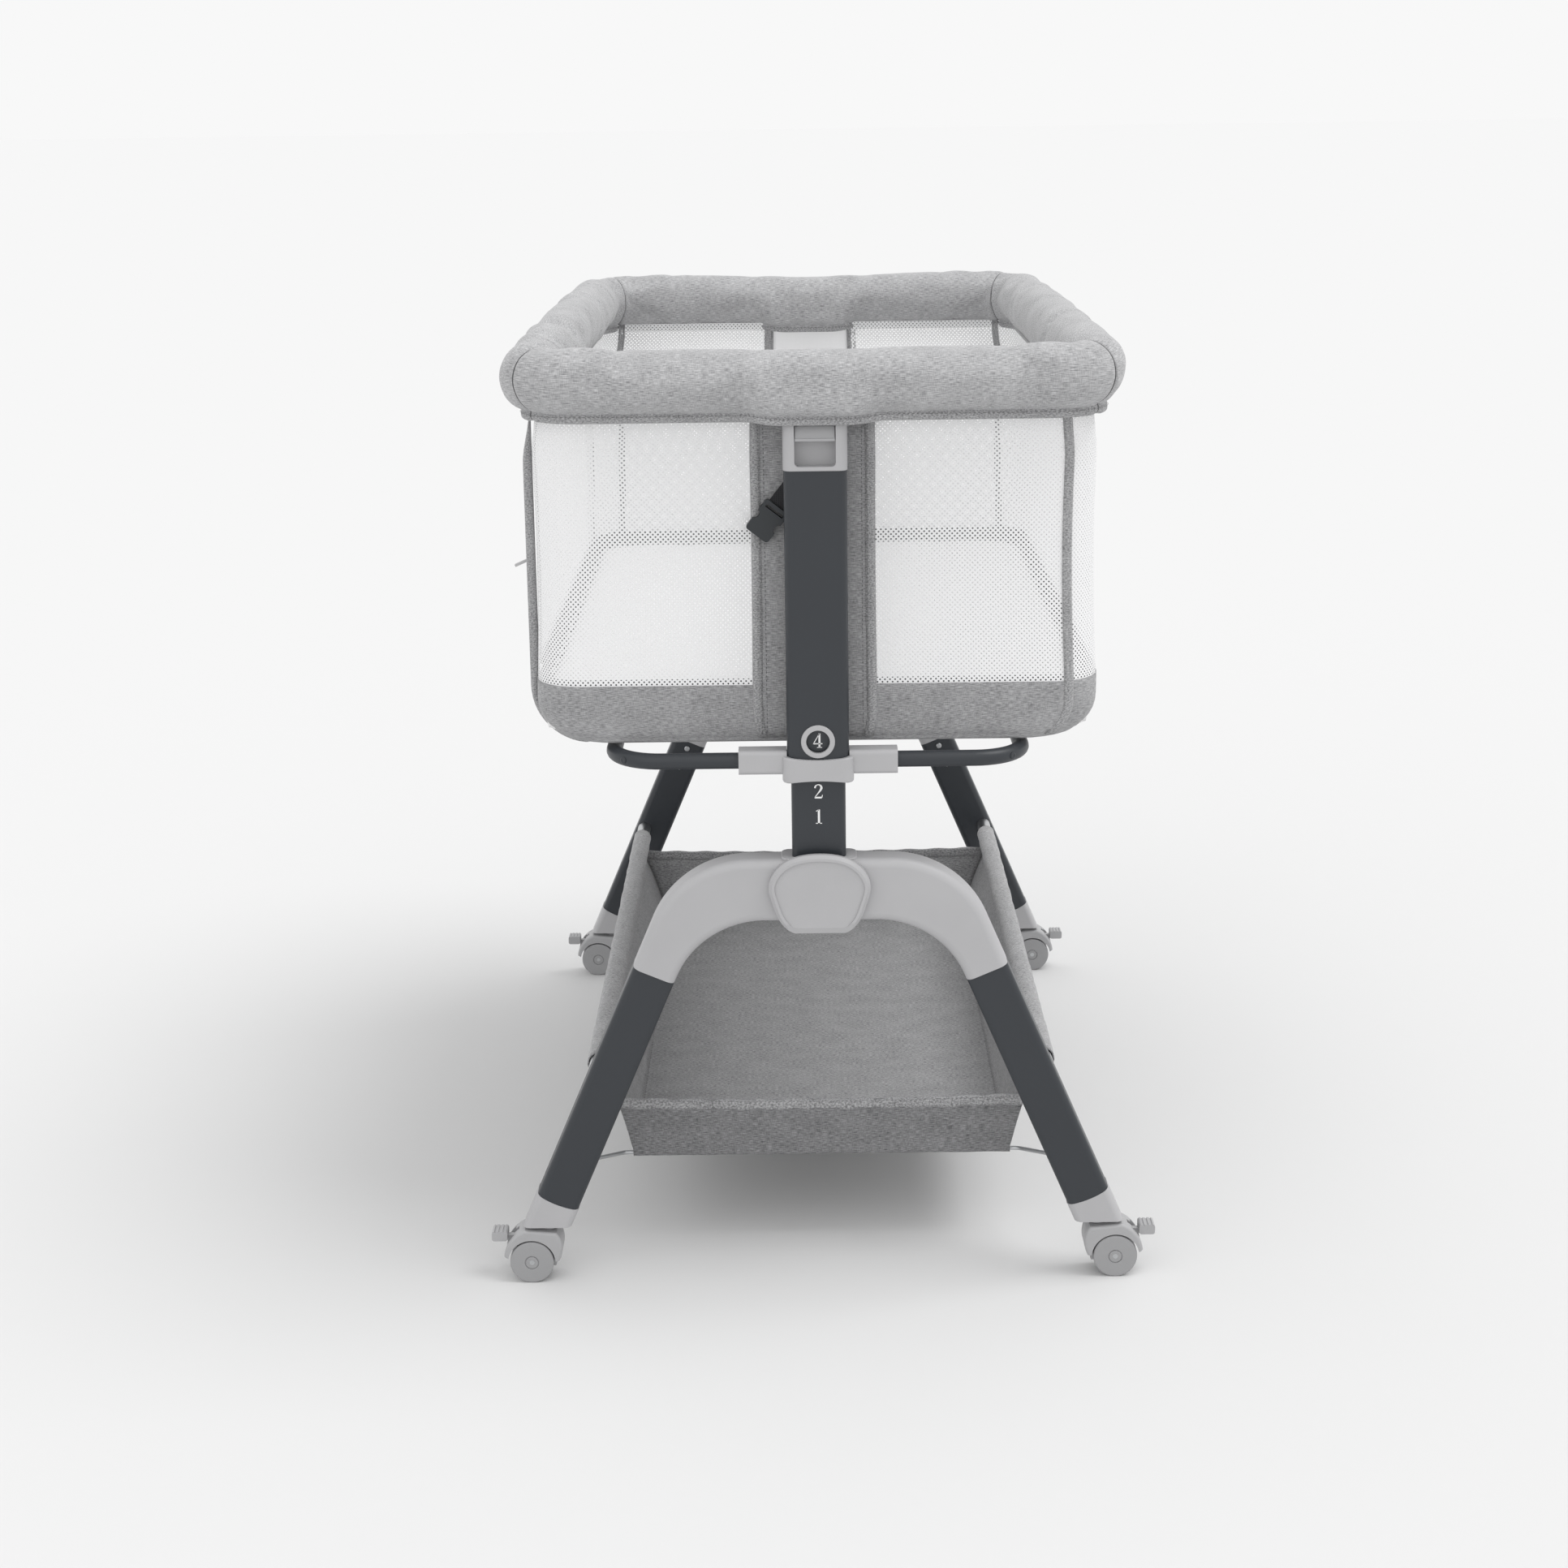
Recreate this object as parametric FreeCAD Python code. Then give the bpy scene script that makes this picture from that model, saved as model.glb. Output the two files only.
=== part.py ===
"""Bassinet on a height-adjustable stand, written as separate pieces.

Axes: X across the bed, Y along it, Z up. The origin is on the floor under the middle of the object.
The front end is at -Y, the drop side is at -X. Every size is in millimetres.
Each piece is written to parts/NAME.step. At rest the bed stands at the middle height setting.
"""
import FreeCAD, Part
import math
import os
from FreeCAD import Vector

# ---------------------------------------------------------------- overall sizes
BED_LENGTH = 894.0          # outside of the padded rail
BED_WIDTH = 568.0
STAND_CORNER_X = 130.5      # where the top line of an arch meets the outer line of a leg
LEG_ANGLE = 23.1            # splay from vertical, degrees
ARCH_TOP = 422.0            # height of the arch

# ---------------------------------------------------------------- padded rail
RAIL_PAD_W = 54.0           # width of the padding
RAIL_PAD_DROP = 35.0        # from the tube's centre down to the hem
RAIL_TUBE_D = 22.0
RAIL_TUBE_WALL = 1.5
RAIL_BEND_R = 48.0          # plan radius of the rail's centre line
PAD_GAP = 0.4               # padding to tube
SIDE_RAIL_RETURN = 57.0     # from the bend to the split between fixed rail and side rail
RAIL_END_GAP = 2.0
HEM_HALF_W = 5.0
WALL_TO_PAD = 0.8           # clearance of the fabric walls under the padding
WALL_TUCK = 22.0            # walls reach this far up behind the padding
PAD_TO_LATCH = 1.0

# ---------------------------------------------------------------- fabric body
WALL_T = 2.5
BODY_SIDE_INSET = 20.0      # rail outside to body outside, at the sides
BODY_END_GAP = 9.0          # post to body, at the ends
BODY_CORNER_R = 45.0
BODY_LOWER_R = 34.0         # along the two long lower edges
BAND_HEIGHT = 55.0          # solid fabric band under the mesh
BODY_DEPTH = 305.0
PANEL_PAST_RAIL = 16.0      # drop panel past each end of the side rail
PANEL_GAP = 1.0
PANEL_TO_PAD = 0.3
BOARD_T = 6.0
BOARD_GAP = 0.3
BOARD_END_GAP = 11.0
MATTRESS_T = 35.0
MATTRESS_GAP = 3.0
MATTRESS_EDGE_R = 6.0
MATTRESS_LOWER_R = 20.0     # along the two long lower edges

# ---------------------------------------------------------------- telescopic posts
UPPER_W = 57.0
UPPER_D = 30.0
UPPER_WALL = 1.5
UPPER_R = 8.0
POST_CLEAR = 2.0            # inner post inside the outer one, each side
LOWER_WALL = 1.5
SETTING_PITCH = 24.0
SETTINGS = 7
REST_SETTING = 4
LOWER_SPARE = 60.0          # lower post left inside the upper one at the highest setting
POST_SOCKET = 52.0          # lower post inside the arch
WINDOW_D = 24.0
WINDOW_UP = 39.0            # from the collar's underside to the window's centre
RING_LIP = 3.5
RING_SPIGOT = 1.15          # thickness of the ring's spigot
RING_PROUD = 2.0
RING_EDGE_R = 0.9
LOCK_PIN_D = 5.0
LOCK_PIN_CLEAR = 0.5
LOCK_PIN_UP = 7.0           # from the collar's underside
LOCK_PIN_BACK = 0.4         # pin drawn back from the collar's bore
LOCK_PIN_HEAD = 1.5

# ---------------------------------------------------------------- collar and base tubes
COLLAR_WALL_X = 4.25
COLLAR_WALL_Y = 3.5
COLLAR_H = 24.0
COLLAR_R = 9.0
COLLAR_EDGE_R = 2.0
COLLAR_SEAT = 9.0           # depth of the upper tube in the collar
COLLAR_CLEAR = 0.3
COLLAR_DIP = 2.2            # bow of its upper and lower edges
COLLAR_BOW_R = 180.0
SLEEVE_REACH = 40.25        # sleeve past the collar's side
SLEEVE_WALL = 3.8
SLEEVE_R = 4.0
SLEEVE_IN = 4.0             # sleeve's root inside the collar
BASE_UP = 17.8              # base tube's centre over the collar's underside
BASE_TUBE_D = 15.0
BASE_TUBE_WALL = 1.2
BASE_TUBE_INSET = 73.5      # body outside to the centre line of the long run
BASE_BEND_R = 46.0
BASE_IN_SLEEVE = 32.0
BASE_TO_BODY = 2.7

# ---------------------------------------------------------------- latch
LATCH_OVER_X = 0.5          # latch housing outside the tube
LATCH_OVER_Y = 1.5
LATCH_H = 76.0
LATCH_EDGE_R = 1.2
LATCH_ON_TUBE = 5.0         # housing's top over the rail tube's underside
LATCH_PLUG = 22.0
PLUG_CLEAR = 0.1
RECESS_SIDE = 10.5          # wall beside the finger recess
RECESS_H = 44.0
RECESS_UP = 4.0
RECESS_DEEP = 14.0
RECESS_R = 4.0
TRIGGER_SIDE_GAP = 0.8
TRIGGER_H = 13.0
TRIGGER_T = 11.0
TRIGGER_IN = 1.0
TRIGGER_LIP = (0.6, 2.6, 2.2)
TRIGGER_SLOPE = 3.5
TRIGGER_TRAVEL = 6.0
TRIGGER_TOP_GAP = 2.0

# ---------------------------------------------------------------- arch and legs
COLLAR_ABOVE_BOSS = 0.5     # collar over the boss at the lowest setting
BOSS_UP = 1.5
BOSS_WALL_X = 10.0
BOSS_IN = 0.5               # boss behind the arch's face
BOSS_DEEP = 30.0
BOSS_R = 8.0
BOSS_EDGE_R = 1.0
ARCH_MID_H = 60.0
ARCH_OVER_LEG = 1.5         # arch outside the leg, each face
ARCH_OUT_R = 98.0
ARCH_IN_R = 90.0
ARCH_EDGE_R = 8.0
ARCH_RUN = 112.7            # corner to joint, along the leg's outer line
LEG_W = 41.3
LEG_D = 30.0
LEG_R = 6.0
LEG_WALL = 1.6
LEG_STEP = 2.0              # neck of the leg inside its outside, each side
LEG_PLUG = 45.0
CAP_PLUG = 22.0
CAP_SEEN = 25.8             # middle of the leg's end over the cap's underside
CAP_SAG = 2.5               # bow of the line between leg and cap
CAP_PROUD = 0.6
HUB_HALF_W = 47.0
HUB_TOP_UP = 7.5            # above the arch
HUB_BELOW = 8.5             # below the arch's underside
HUB_PROFILE = ((0.0, 0.0), (0.34, 0.018), (0.655, 0.089), (0.889, 0.222), (1.0, 0.385), (0.936, 0.607),
               (0.796, 0.831), (0.625, 0.958))  # half width and depth, as shares
HUB_FOOT_IN = 5.5
HUB_T = 10.0
HUB_RIM = 5.5
HUB_BEVEL = 3.0
HUB_SINK = 1.5
HUB_LIP = (12.0, 4.0, 5.0)  # lower lip: below and above the arch's underside, and how far it slopes back
HUB_TO_COLLAR = 0.8
RIVET_D = 7.0
RIVET_PROUD = 2.2
RIVET_EDGE_R = 1.2
RIVET_DOWN = (9.0, 35.0)

# ---------------------------------------------------------------- casters
WHEEL_D = 42.0
WHEEL_T = 9.5
WHEEL_GAP = 0.6
WHEEL_EDGE_R = 1.5
HUBCAP_R = (5.8, 6.8)       # ring groove in the wheel's face
GROOVE_DEEP = 0.8
WEB_HALF = 5.0
HOOD_OVER_WHEELS = 0.1      # hood past the wheels' outer faces
HOOD_CLEAR = 1.6
HOOD_WALL = 3.9
HOOD_FRONT_UP = (4.0, 6.0)  # front lip over the wheel's centre, inside and outside
HOOD_BACK_UP = 1.0
HOOD_EDGE_R = 3.0
HOOD_TO_CAP = 2.0
WHEEL_TO_CAP = 15.0         # top of the wheels to the cap's underside
TRAIL = 17.0
STEM_D = 8.0
STEM_UP = 20.0
STEM_CLEAR = 0.05
STEM_RING = (7.5, 4.5, 0.5) # radius, height, gap to the cap
STEM_TO_LEG = 1.0           # stem inwards of the leg's centre line at the cap's underside
AXLE_D = 5.0
AXLE_CLEAR = 0.05
PEDAL_OVER_WHEEL = 3.55     # pivot outside the wheel
PEDAL_PIVOT_ANGLE = 56.6    # pivot's place round the wheel, degrees from horizontal
PEDAL_PIN_D = 3.0
PEDAL_PIN_HALF = 6.0
PEDAL_PIN_CLEAR = 0.05
PEDAL_ARM_HALF = (2.8, 2.6)
PEDAL_PAD = (10.0, 25.0, -1.5, 8.5)   # from the pivot: near end, far end, underside, top
PEDAL_PAD_HALF_W = 8.0
PEDAL_PAD_R = 2.5
PEDAL_GROOVES = 3
PEDAL_GROOVE = (1.6, 4.0, 0.8)        # width, pitch, depth
PEDAL_SLOT_SIDE = 0.6
PEDAL_PAD_GAP = 1.5

# ---------------------------------------------------------------- basket
SIDE_TUBE_D = 16.0
SIDE_TUBE_WALL = 1.2
SIDE_TUBE_UP = 140.0        # over the foot caps' underside
SIDE_TUBE_OUT = 12.0        # outwards of the legs' centre line
BASKET_FLOOR_UP = 37.0      # over the foot caps' underside
BASKET_FLOOR_IN = 30.0      # floor's edge inwards of the side tubes
BASKET_TOP_OUT = 2.0
BASKET_END_GAP = 60.0       # basket to the legs' inner faces
BASKET_T = 2.0
BASKET_FRONT_H = 56.0
BASKET_BACK_H = 92.0
SLEEVE_T = 2.0
SLEEVE_GAP = 0.4
ROD_D = 4.0
ROD_GAP = 0.5
ROD_RISE = 13.0
ROD_LEG_IN = 8.0
ROD_END_RUN = 16.0
ROD_CORNER_OUT = 8.0
ROD_BEND_R = 12.0

# ---------------------------------------------------------------- small trim
ZIP_SLIDER = (3.0, 6.0, 9.0)
ZIP_TAB = (17.0, 6.0, 2.2)
ZIP_TAB_TURN = 24.0
ZIP_UP = 166.0              # over the bed's underside
ZIP_OUT = 0.5
ZIP_PAST_PANEL = 5.0
STRAP_W = 20.0
STRAP_T = 1.5
STRAP_LENGTH = 34.0
BUCKLE = (25.0, 33.0, 7.5)
BUCKLE_R = 3.0
BUCKLE_SLOT = (19.0, 3.0, 5.0)        # width, height, distance from the end
BUCKLE_MOUTH = (3.0, 12.0, 2.0)       # side wall, unslotted length, face wall
BUCKLE_BITE_R = 5.0
BUCKLE_TURN = 38.0
BUCKLE_BESIDE = 15.5        # beside the post
BUCKLE_UP = 210.0           # over the bed's underside
BUCKLE_OUT = 0.6

# ---------------------------------------------------------------- worked-out sizes
LOWER_W = UPPER_W - 2 * (UPPER_WALL + POST_CLEAR)
LOWER_D = UPPER_D - 2 * (UPPER_WALL + POST_CLEAR)
LOWER_R = UPPER_R - POST_CLEAR
COLLAR_W = UPPER_W + 2 * COLLAR_WALL_X
COLLAR_D = UPPER_D + 2 * COLLAR_WALL_Y
SLEEVE_END_X = COLLAR_W / 2.0 + SLEEVE_REACH
SLEEVE_H = BASE_TUBE_D + 2 * SLEEVE_WALL
BASE_TUBE_STOP = SLEEVE_END_X - BASE_IN_SLEEVE
LATCH_W = UPPER_W + 2 * LATCH_OVER_X
LATCH_D = UPPER_D + 2 * LATCH_OVER_Y
RECESS_W = LATCH_W - 2 * RECESS_SIDE
TRIGGER_W = RECESS_W - 2 * TRIGGER_SIDE_GAP
RING_OD = WINDOW_D + 2 * RING_LIP
RING_ID = WINDOW_D - 2 * RING_SPIGOT
ARCH_D = LEG_D + 2 * ARCH_OVER_LEG
BOSS_W = LOWER_W + 2 * BOSS_WALL_X
BOSS_D = ARCH_D - 2 * BOSS_IN
HOOD_HALF = WEB_HALF + WHEEL_GAP + WHEEL_T + HOOD_OVER_WHEELS
HOOD_IN_R = WHEEL_D / 2.0 + HOOD_CLEAR
CAP_UNDER = WHEEL_D + WHEEL_TO_CAP

# ---------------------------------------------------------------- worked-out places
RAIL_X = (BED_WIDTH - RAIL_PAD_W) / 2.0
POST_Y = (BED_LENGTH - RAIL_PAD_W) / 2.0
SIDE_RAIL_HALF = POST_Y - RAIL_BEND_R - SIDE_RAIL_RETURN
DROP_HALF = SIDE_RAIL_HALF + PANEL_PAST_RAIL
COLLAR_Z = ARCH_TOP + BOSS_UP + COLLAR_ABOVE_BOSS + (REST_SETTING - 1) * SETTING_PITCH
LOCK_PIN_Z = COLLAR_Z + LOCK_PIN_UP
BASE_Z = COLLAR_Z + BASE_UP
BODY_Z = BASE_Z + BASE_TUBE_D / 2.0 + BASE_TO_BODY
BODY_TOP = BODY_Z + BODY_DEPTH
BAND_TOP = BODY_Z + BAND_HEIGHT
RAIL_Z = BODY_TOP + RAIL_PAD_DROP + 2.0
HEM_Z = RAIL_Z - RAIL_PAD_DROP
BODY_X = BED_WIDTH / 2.0 - BODY_SIDE_INSET
BODY_Y = POST_Y - UPPER_D / 2.0 - BODY_END_GAP
BASE_TUBE_X = BODY_X - BASE_TUBE_INSET
UPPER_Z0 = COLLAR_Z + COLLAR_H - COLLAR_SEAT
LATCH_Z0 = RAIL_Z - RAIL_TUBE_D / 2.0 + LATCH_ON_TUBE - LATCH_H
WINDOW_Z = COLLAR_Z + WINDOW_UP
TAN = math.tan(math.radians(LEG_ANGLE))
LEG_DIR = Vector(math.sin(math.radians(LEG_ANGLE)), 0, -math.cos(math.radians(LEG_ANGLE)))
LEG_IN = Vector(-math.cos(math.radians(LEG_ANGLE)), 0, -math.sin(math.radians(LEG_ANGLE)))
JOINT_OUT = Vector(STAND_CORNER_X, 0, ARCH_TOP) + LEG_DIR * ARCH_RUN
JOINT_MID = JOINT_OUT + LEG_IN * (LEG_W / 2.0)
LEG_LEN = (JOINT_MID.z - CAP_UNDER - CAP_SEEN) / -LEG_DIR.z
LEG_END = JOINT_MID + LEG_DIR * LEG_LEN
CAP_X = LEG_END.x + (LEG_END.z - CAP_UNDER) * TAN
STEM_X = CAP_X - STEM_TO_LEG
WHEEL_X = STEM_X + TRAIL
LEG_FACE_Y = POST_Y - LEG_D / 2.0
SIDE_TUBE_Z = CAP_UNDER + SIDE_TUBE_UP
SIDE_TUBE_X = LEG_END.x - (SIDE_TUBE_Z - LEG_END.z) * TAN + SIDE_TUBE_OUT
BASKET_FLOOR_Z = CAP_UNDER + BASKET_FLOOR_UP
BASKET_FLOOR_HALF = SIDE_TUBE_X - BASKET_FLOOR_IN
BASKET_HALF_L = LEG_FACE_Y - BASKET_END_GAP
ENDS = (("front", -1.0), ("rear", 1.0))
SIDES = (("left", -1.0), ("right", 1.0))
PARTS = "parts"


def rounded(shape, radius, edges):
    """The shape with these edges rounded, at a smaller radius where the full one leaves no sound solid."""
    for share in (1.0, 0.9, 0.75, 0.5, 0.25):
        try:
            eased = shape.makeFillet(share * radius, edges)
        except Part.OCCError:
            continue
        if eased.isValid():
            return eased
    return shape


def save(name, shape):
    """Write one piece and report its size."""
    solids = shape.Solids
    if not shape.isValid() or not solids:
        raise ValueError(name + " is not a valid solid")
    body = solids[0] if len(solids) == 1 else Part.makeCompound(solids)
    body.exportStep(os.path.join(PARTS, name + ".step"))
    print("%-26s %d solid(s) %10.1f mm3" % (name, len(solids), sum(s.Volume for s in solids)))


def block(x0, x1, y0, y1, z0, z1):
    """Box between two corners."""
    return Part.makeBox(x1 - x0, y1 - y0, z1 - z0, Vector(x0, y0, z0))


def rounded_face(width, depth, radius, z=0.0):
    """Flat rounded rectangle centred on the Z axis."""
    a, b, r = width / 2.0, depth / 2.0, radius
    k = r * (1.0 - math.sqrt(0.5))
    edges = []
    corners = ((1, 1), (-1, 1), (-1, -1), (1, -1))
    points = []
    for sx, sy in corners:
        if sx * sy > 0:
            start, end = Vector(sx * a, sy * (b - r), z), Vector(sx * (a - r), sy * b, z)
        else:
            start, end = Vector(sx * (a - r), sy * b, z), Vector(sx * a, sy * (b - r), z)
        points.append((start, Vector(sx * (a - k), sy * (b - k), z), end))
    for i, (start, middle, end) in enumerate(points):
        edges.append(Part.Arc(start, middle, end).toShape())
        following = points[(i + 1) % 4][0]
        if (following - end).Length > 1e-6:
            edges.append(Part.makeLine(end, following))
    return Part.Face(Part.Wire(edges))


def rounded_bar(width, depth, radius, z0, z1):
    """Upright bar of rounded rectangular section."""
    return rounded_face(width, depth, radius, z0).extrude(Vector(0, 0, z1 - z0))


def rounded_tube(width, depth, radius, wall, z0, z1):
    """Upright tube of rounded rectangular section."""
    inner_r = max(radius - wall, 0.5)
    outer = rounded_bar(width, depth, radius, z0, z1)
    return outer.cut(rounded_bar(width - 2 * wall, depth - 2 * wall, inner_r, z0 - 1, z1 + 1))


def polygon_face(points):
    """Flat face from corner points."""
    return Part.Face(Part.makePolygon(list(points) + [points[0]]))


def pipe(points, radii, outer_d, wall):
    """Round tube along straight runs joined by tangent arcs, hollow when wall is given."""
    edges = path_edges(points, radii)
    wire = Part.Wire(edges)
    start = edges[0].valueAt(edges[0].FirstParameter)
    along = edges[0].tangentAt(edges[0].FirstParameter)

    def solid_rod(diameter):
        ring = Part.Wire(Part.makeCircle(diameter / 2.0, start, along))
        return wire.makePipeShell([ring], True, False)

    rod = solid_rod(outer_d)
    return rod.cut(solid_rod(outer_d - 2 * wall)) if wall else rod


def path_edges(points, radii):
    """Edges of a route: straight runs, with an arc of the given radius at each inner corner."""
    edges = []
    here = points[0]
    for i in range(1, len(points) - 1):
        back = (points[i - 1] - points[i]).normalize()
        on = (points[i + 1] - points[i]).normalize()
        half = back.getAngle(on) / 2.0
        reach = radii[i - 1] / math.tan(half)
        start, end = points[i] + back * reach, points[i] + on * reach
        bisector = (back + on).normalize()
        centre = points[i] + bisector * (radii[i - 1] / math.sin(half))
        middle = centre - bisector * radii[i - 1]
        edges.append(Part.makeLine(here, start))
        edges.append(Part.Arc(start, middle, end).toShape())
        here = end
    edges.append(Part.makeLine(here, points[-1]))
    return edges


def mirrored(shape, sx, sy):
    """Copy of a shape made in the +X +Y quarter, turned over to another quarter."""
    out = shape
    if sx < 0:
        out = out.mirror(Vector(0, 0, 0), Vector(1, 0, 0))
    if sy < 0:
        out = out.mirror(Vector(0, 0, 0), Vector(0, 1, 0))
    return out


# ================================================================ stand
def arch_outline():
    """Arch seen from the end, centred on X = 0, as one face in the plane Y = 0."""
    turn = math.radians(90.0 - LEG_ANGLE) / 2.0
    out_corner = Vector(STAND_CORNER_X, 0, ARCH_TOP)
    in_start = JOINT_OUT + LEG_IN * LEG_W
    under_z = ARCH_TOP - ARCH_MID_H
    in_corner = in_start - LEG_DIR * ((under_z - in_start.z) / -LEG_DIR.z)

    def corner_arc(corner, radius):
        """Points of the arc that rounds a corner: on the level line, midway, on the leg's line."""
        reach = radius * math.tan(turn)
        on_top = corner - Vector(reach, 0, 0)
        centre = on_top - Vector(0, 0, radius)
        middle = centre + (corner - centre).normalize() * radius
        return [on_top, middle, corner + LEG_DIR * reach]

    def flipped(points):
        """The same points on the left-hand side."""
        return [Vector(-p.x, p.y, p.z) for p in points]

    over, under = corner_arc(out_corner, ARCH_OUT_R), corner_arc(in_corner, ARCH_IN_R)
    left_over, left_under = flipped(over), flipped(under)
    left_joint, left_start = flipped([JOINT_OUT, in_start])
    edges = [
        Part.makeLine(left_over[0], over[0]),
        Part.Arc(*over).toShape(),
        Part.makeLine(over[2], JOINT_OUT),
        Part.makeLine(JOINT_OUT, in_start),
        Part.makeLine(in_start, under[2]),
        Part.Arc(under[2], under[1], under[0]).toShape(),
        Part.makeLine(under[0], left_under[0]),
        Part.Arc(*left_under).toShape(),
        Part.makeLine(left_under[2], left_start),
        Part.makeLine(left_start, left_joint),
        Part.makeLine(left_joint, left_over[2]),
        Part.Arc(left_over[2], left_over[1], left_over[0]).toShape(),
    ]
    return Part.Face(Part.Wire(edges))


def leg_section_bar(width, depth, radius, start, end):
    """Bar along the right-hand leg's axis, from start to end millimetres past the joint."""
    bar = rounded_bar(width, depth, radius, start, end)
    bar.rotate(Vector(0, 0, 0), Vector(0, 1, 0), 180.0 - LEG_ANGLE)
    bar.translate(JOINT_MID)
    return bar


def leg_end_tool():
    """Everything past the bowed end line of a leg, in the right-hand leg's place."""
    half = LEG_W / 2.0
    radius = (half * half + CAP_SAG * CAP_SAG) / (2.0 * CAP_SAG)
    centre = LEG_END + LEG_DIR * (CAP_SAG - radius)
    drum = Part.makeCylinder(radius, 4 * LEG_D, centre - Vector(0, 2 * LEG_D, 0), Vector(0, 1, 0))
    beyond = leg_section_bar(2 * LEG_W, 2 * LEG_D, 1.0, LEG_LEN - 3 * CAP_SAG, LEG_LEN + 4 * LEG_W)
    return beyond.cut(drum)


def build_arch():
    """Moulded arch with sockets for two legs and the foot of the post."""
    body = arch_outline().extrude(Vector(0, ARCH_D, 0))
    body.translate(Vector(0, -ARCH_D / 2.0, 0))
    long_edges = [e for e in body.Edges
                  if abs(e.BoundBox.YLength) < 0.01 and not on_joint_face(e)]
    body = rounded(body, ARCH_EDGE_R, long_edges)
    boss_top = ARCH_TOP + BOSS_UP
    boss = rounded_bar(BOSS_W, BOSS_D, BOSS_R, ARCH_TOP - BOSS_DEEP, boss_top)
    boss = rounded(boss, BOSS_EDGE_R, [e for e in boss.Edges if e.BoundBox.ZMin > boss_top - 0.01])
    body = body.fuse(boss)
    body = body.cut(rounded_bar(LOWER_W, LOWER_D, LOWER_R, ARCH_TOP - POST_SOCKET, boss_top + 1))
    for sx in (1.0, -1.0):
        body = body.cut(mirrored(leg_neck(1.0), sx, 1.0))
    return body


def on_joint_face(edge):
    """True for an edge that lies in the plane where arch and leg meet."""
    middle = edge.valueAt((edge.FirstParameter + edge.LastParameter) / 2.0)
    reach = Vector(abs(middle.x), 0, middle.z) - JOINT_MID
    return abs(reach.dot(LEG_DIR)) < 0.05


def leg_neck(past):
    """Solid neck of the right-hand leg, inside the arch, run past the joint by the given length."""
    return leg_section_bar(LEG_W - 2 * LEG_STEP, LEG_D - 2 * LEG_STEP, LEG_R - LEG_STEP, -LEG_PLUG, past)


def build_leg():
    """Right-hand leg tube: plain below the arch, necked where it enters it."""
    outer = leg_section_bar(LEG_W, LEG_D, LEG_R, 0.0, LEG_LEN + 2 * CAP_SAG).cut(leg_end_tool())
    inset = 2 * (LEG_STEP + LEG_WALL)
    core = leg_section_bar(LEG_W - inset, LEG_D - inset, LEG_R - LEG_STEP - LEG_WALL,
                           -LEG_PLUG - 1.0, LEG_LEN + 4 * CAP_SAG)
    return outer.fuse(leg_neck(LEG_STEP)).cut(core)


def build_foot_cap():
    """Right-hand moulded foot: bowed top line, level underside, plug up the leg, stem hole."""
    body = leg_section_bar(LEG_W + 2 * CAP_PROUD, LEG_D + 2 * CAP_PROUD, LEG_R + CAP_PROUD,
                           LEG_LEN - 2 * CAP_SAG, LEG_LEN + 2 * LEG_W)
    body = body.common(leg_end_tool())
    below = block(0, 2 * CAP_X, -LEG_D, LEG_D, CAP_UNDER - 4 * LEG_W, CAP_UNDER)
    inset = 2 * (LEG_STEP + LEG_WALL)
    plug = leg_section_bar(LEG_W - inset, LEG_D - inset, LEG_R - LEG_STEP - LEG_WALL,
                           LEG_LEN - CAP_PLUG, LEG_LEN + 2 * CAP_SAG)
    hole = Part.makeCylinder(STEM_D / 2.0 + STEM_CLEAR, STEM_UP + 1.0, Vector(STEM_X, 0, CAP_UNDER - 1.0))
    return body.fuse(plug).cut(below).cut(hole)


def hub_outline(inset):
    """Shield outline in the plane Y = 0, pulled in by inset: one smooth curve over a straight foot."""
    top, low = ARCH_TOP + HUB_TOP_UP, ARCH_TOP - ARCH_MID_H - HUB_BELOW
    right = [Vector(x * HUB_HALF_W, 0, top - down * (top - low)) for x, down in HUB_PROFILE]
    ring = [Vector(-p.x, 0, p.z) for p in right[:0:-1]] + right
    moved = []
    for i, point in enumerate(ring):
        along = ring[min(i + 1, len(ring) - 1)] - ring[max(i - 1, 0)]
        along.normalize()
        moved.append(point + Vector(along.z, 0, -along.x) * inset)
    curve = Part.BSplineCurve()
    curve.interpolate(moved)
    foot = moved[-1].x - HUB_FOOT_IN
    foot_right, foot_left = Vector(foot, 0, low + inset), Vector(-foot, 0, low + inset)
    edges = [
        curve.toShape(),
        Part.makeLine(moved[-1], foot_right),
        Part.makeLine(foot_right, foot_left),
        Part.makeLine(foot_left, moved[0]),
    ]
    return Part.Face(Part.Wire(edges))


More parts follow.
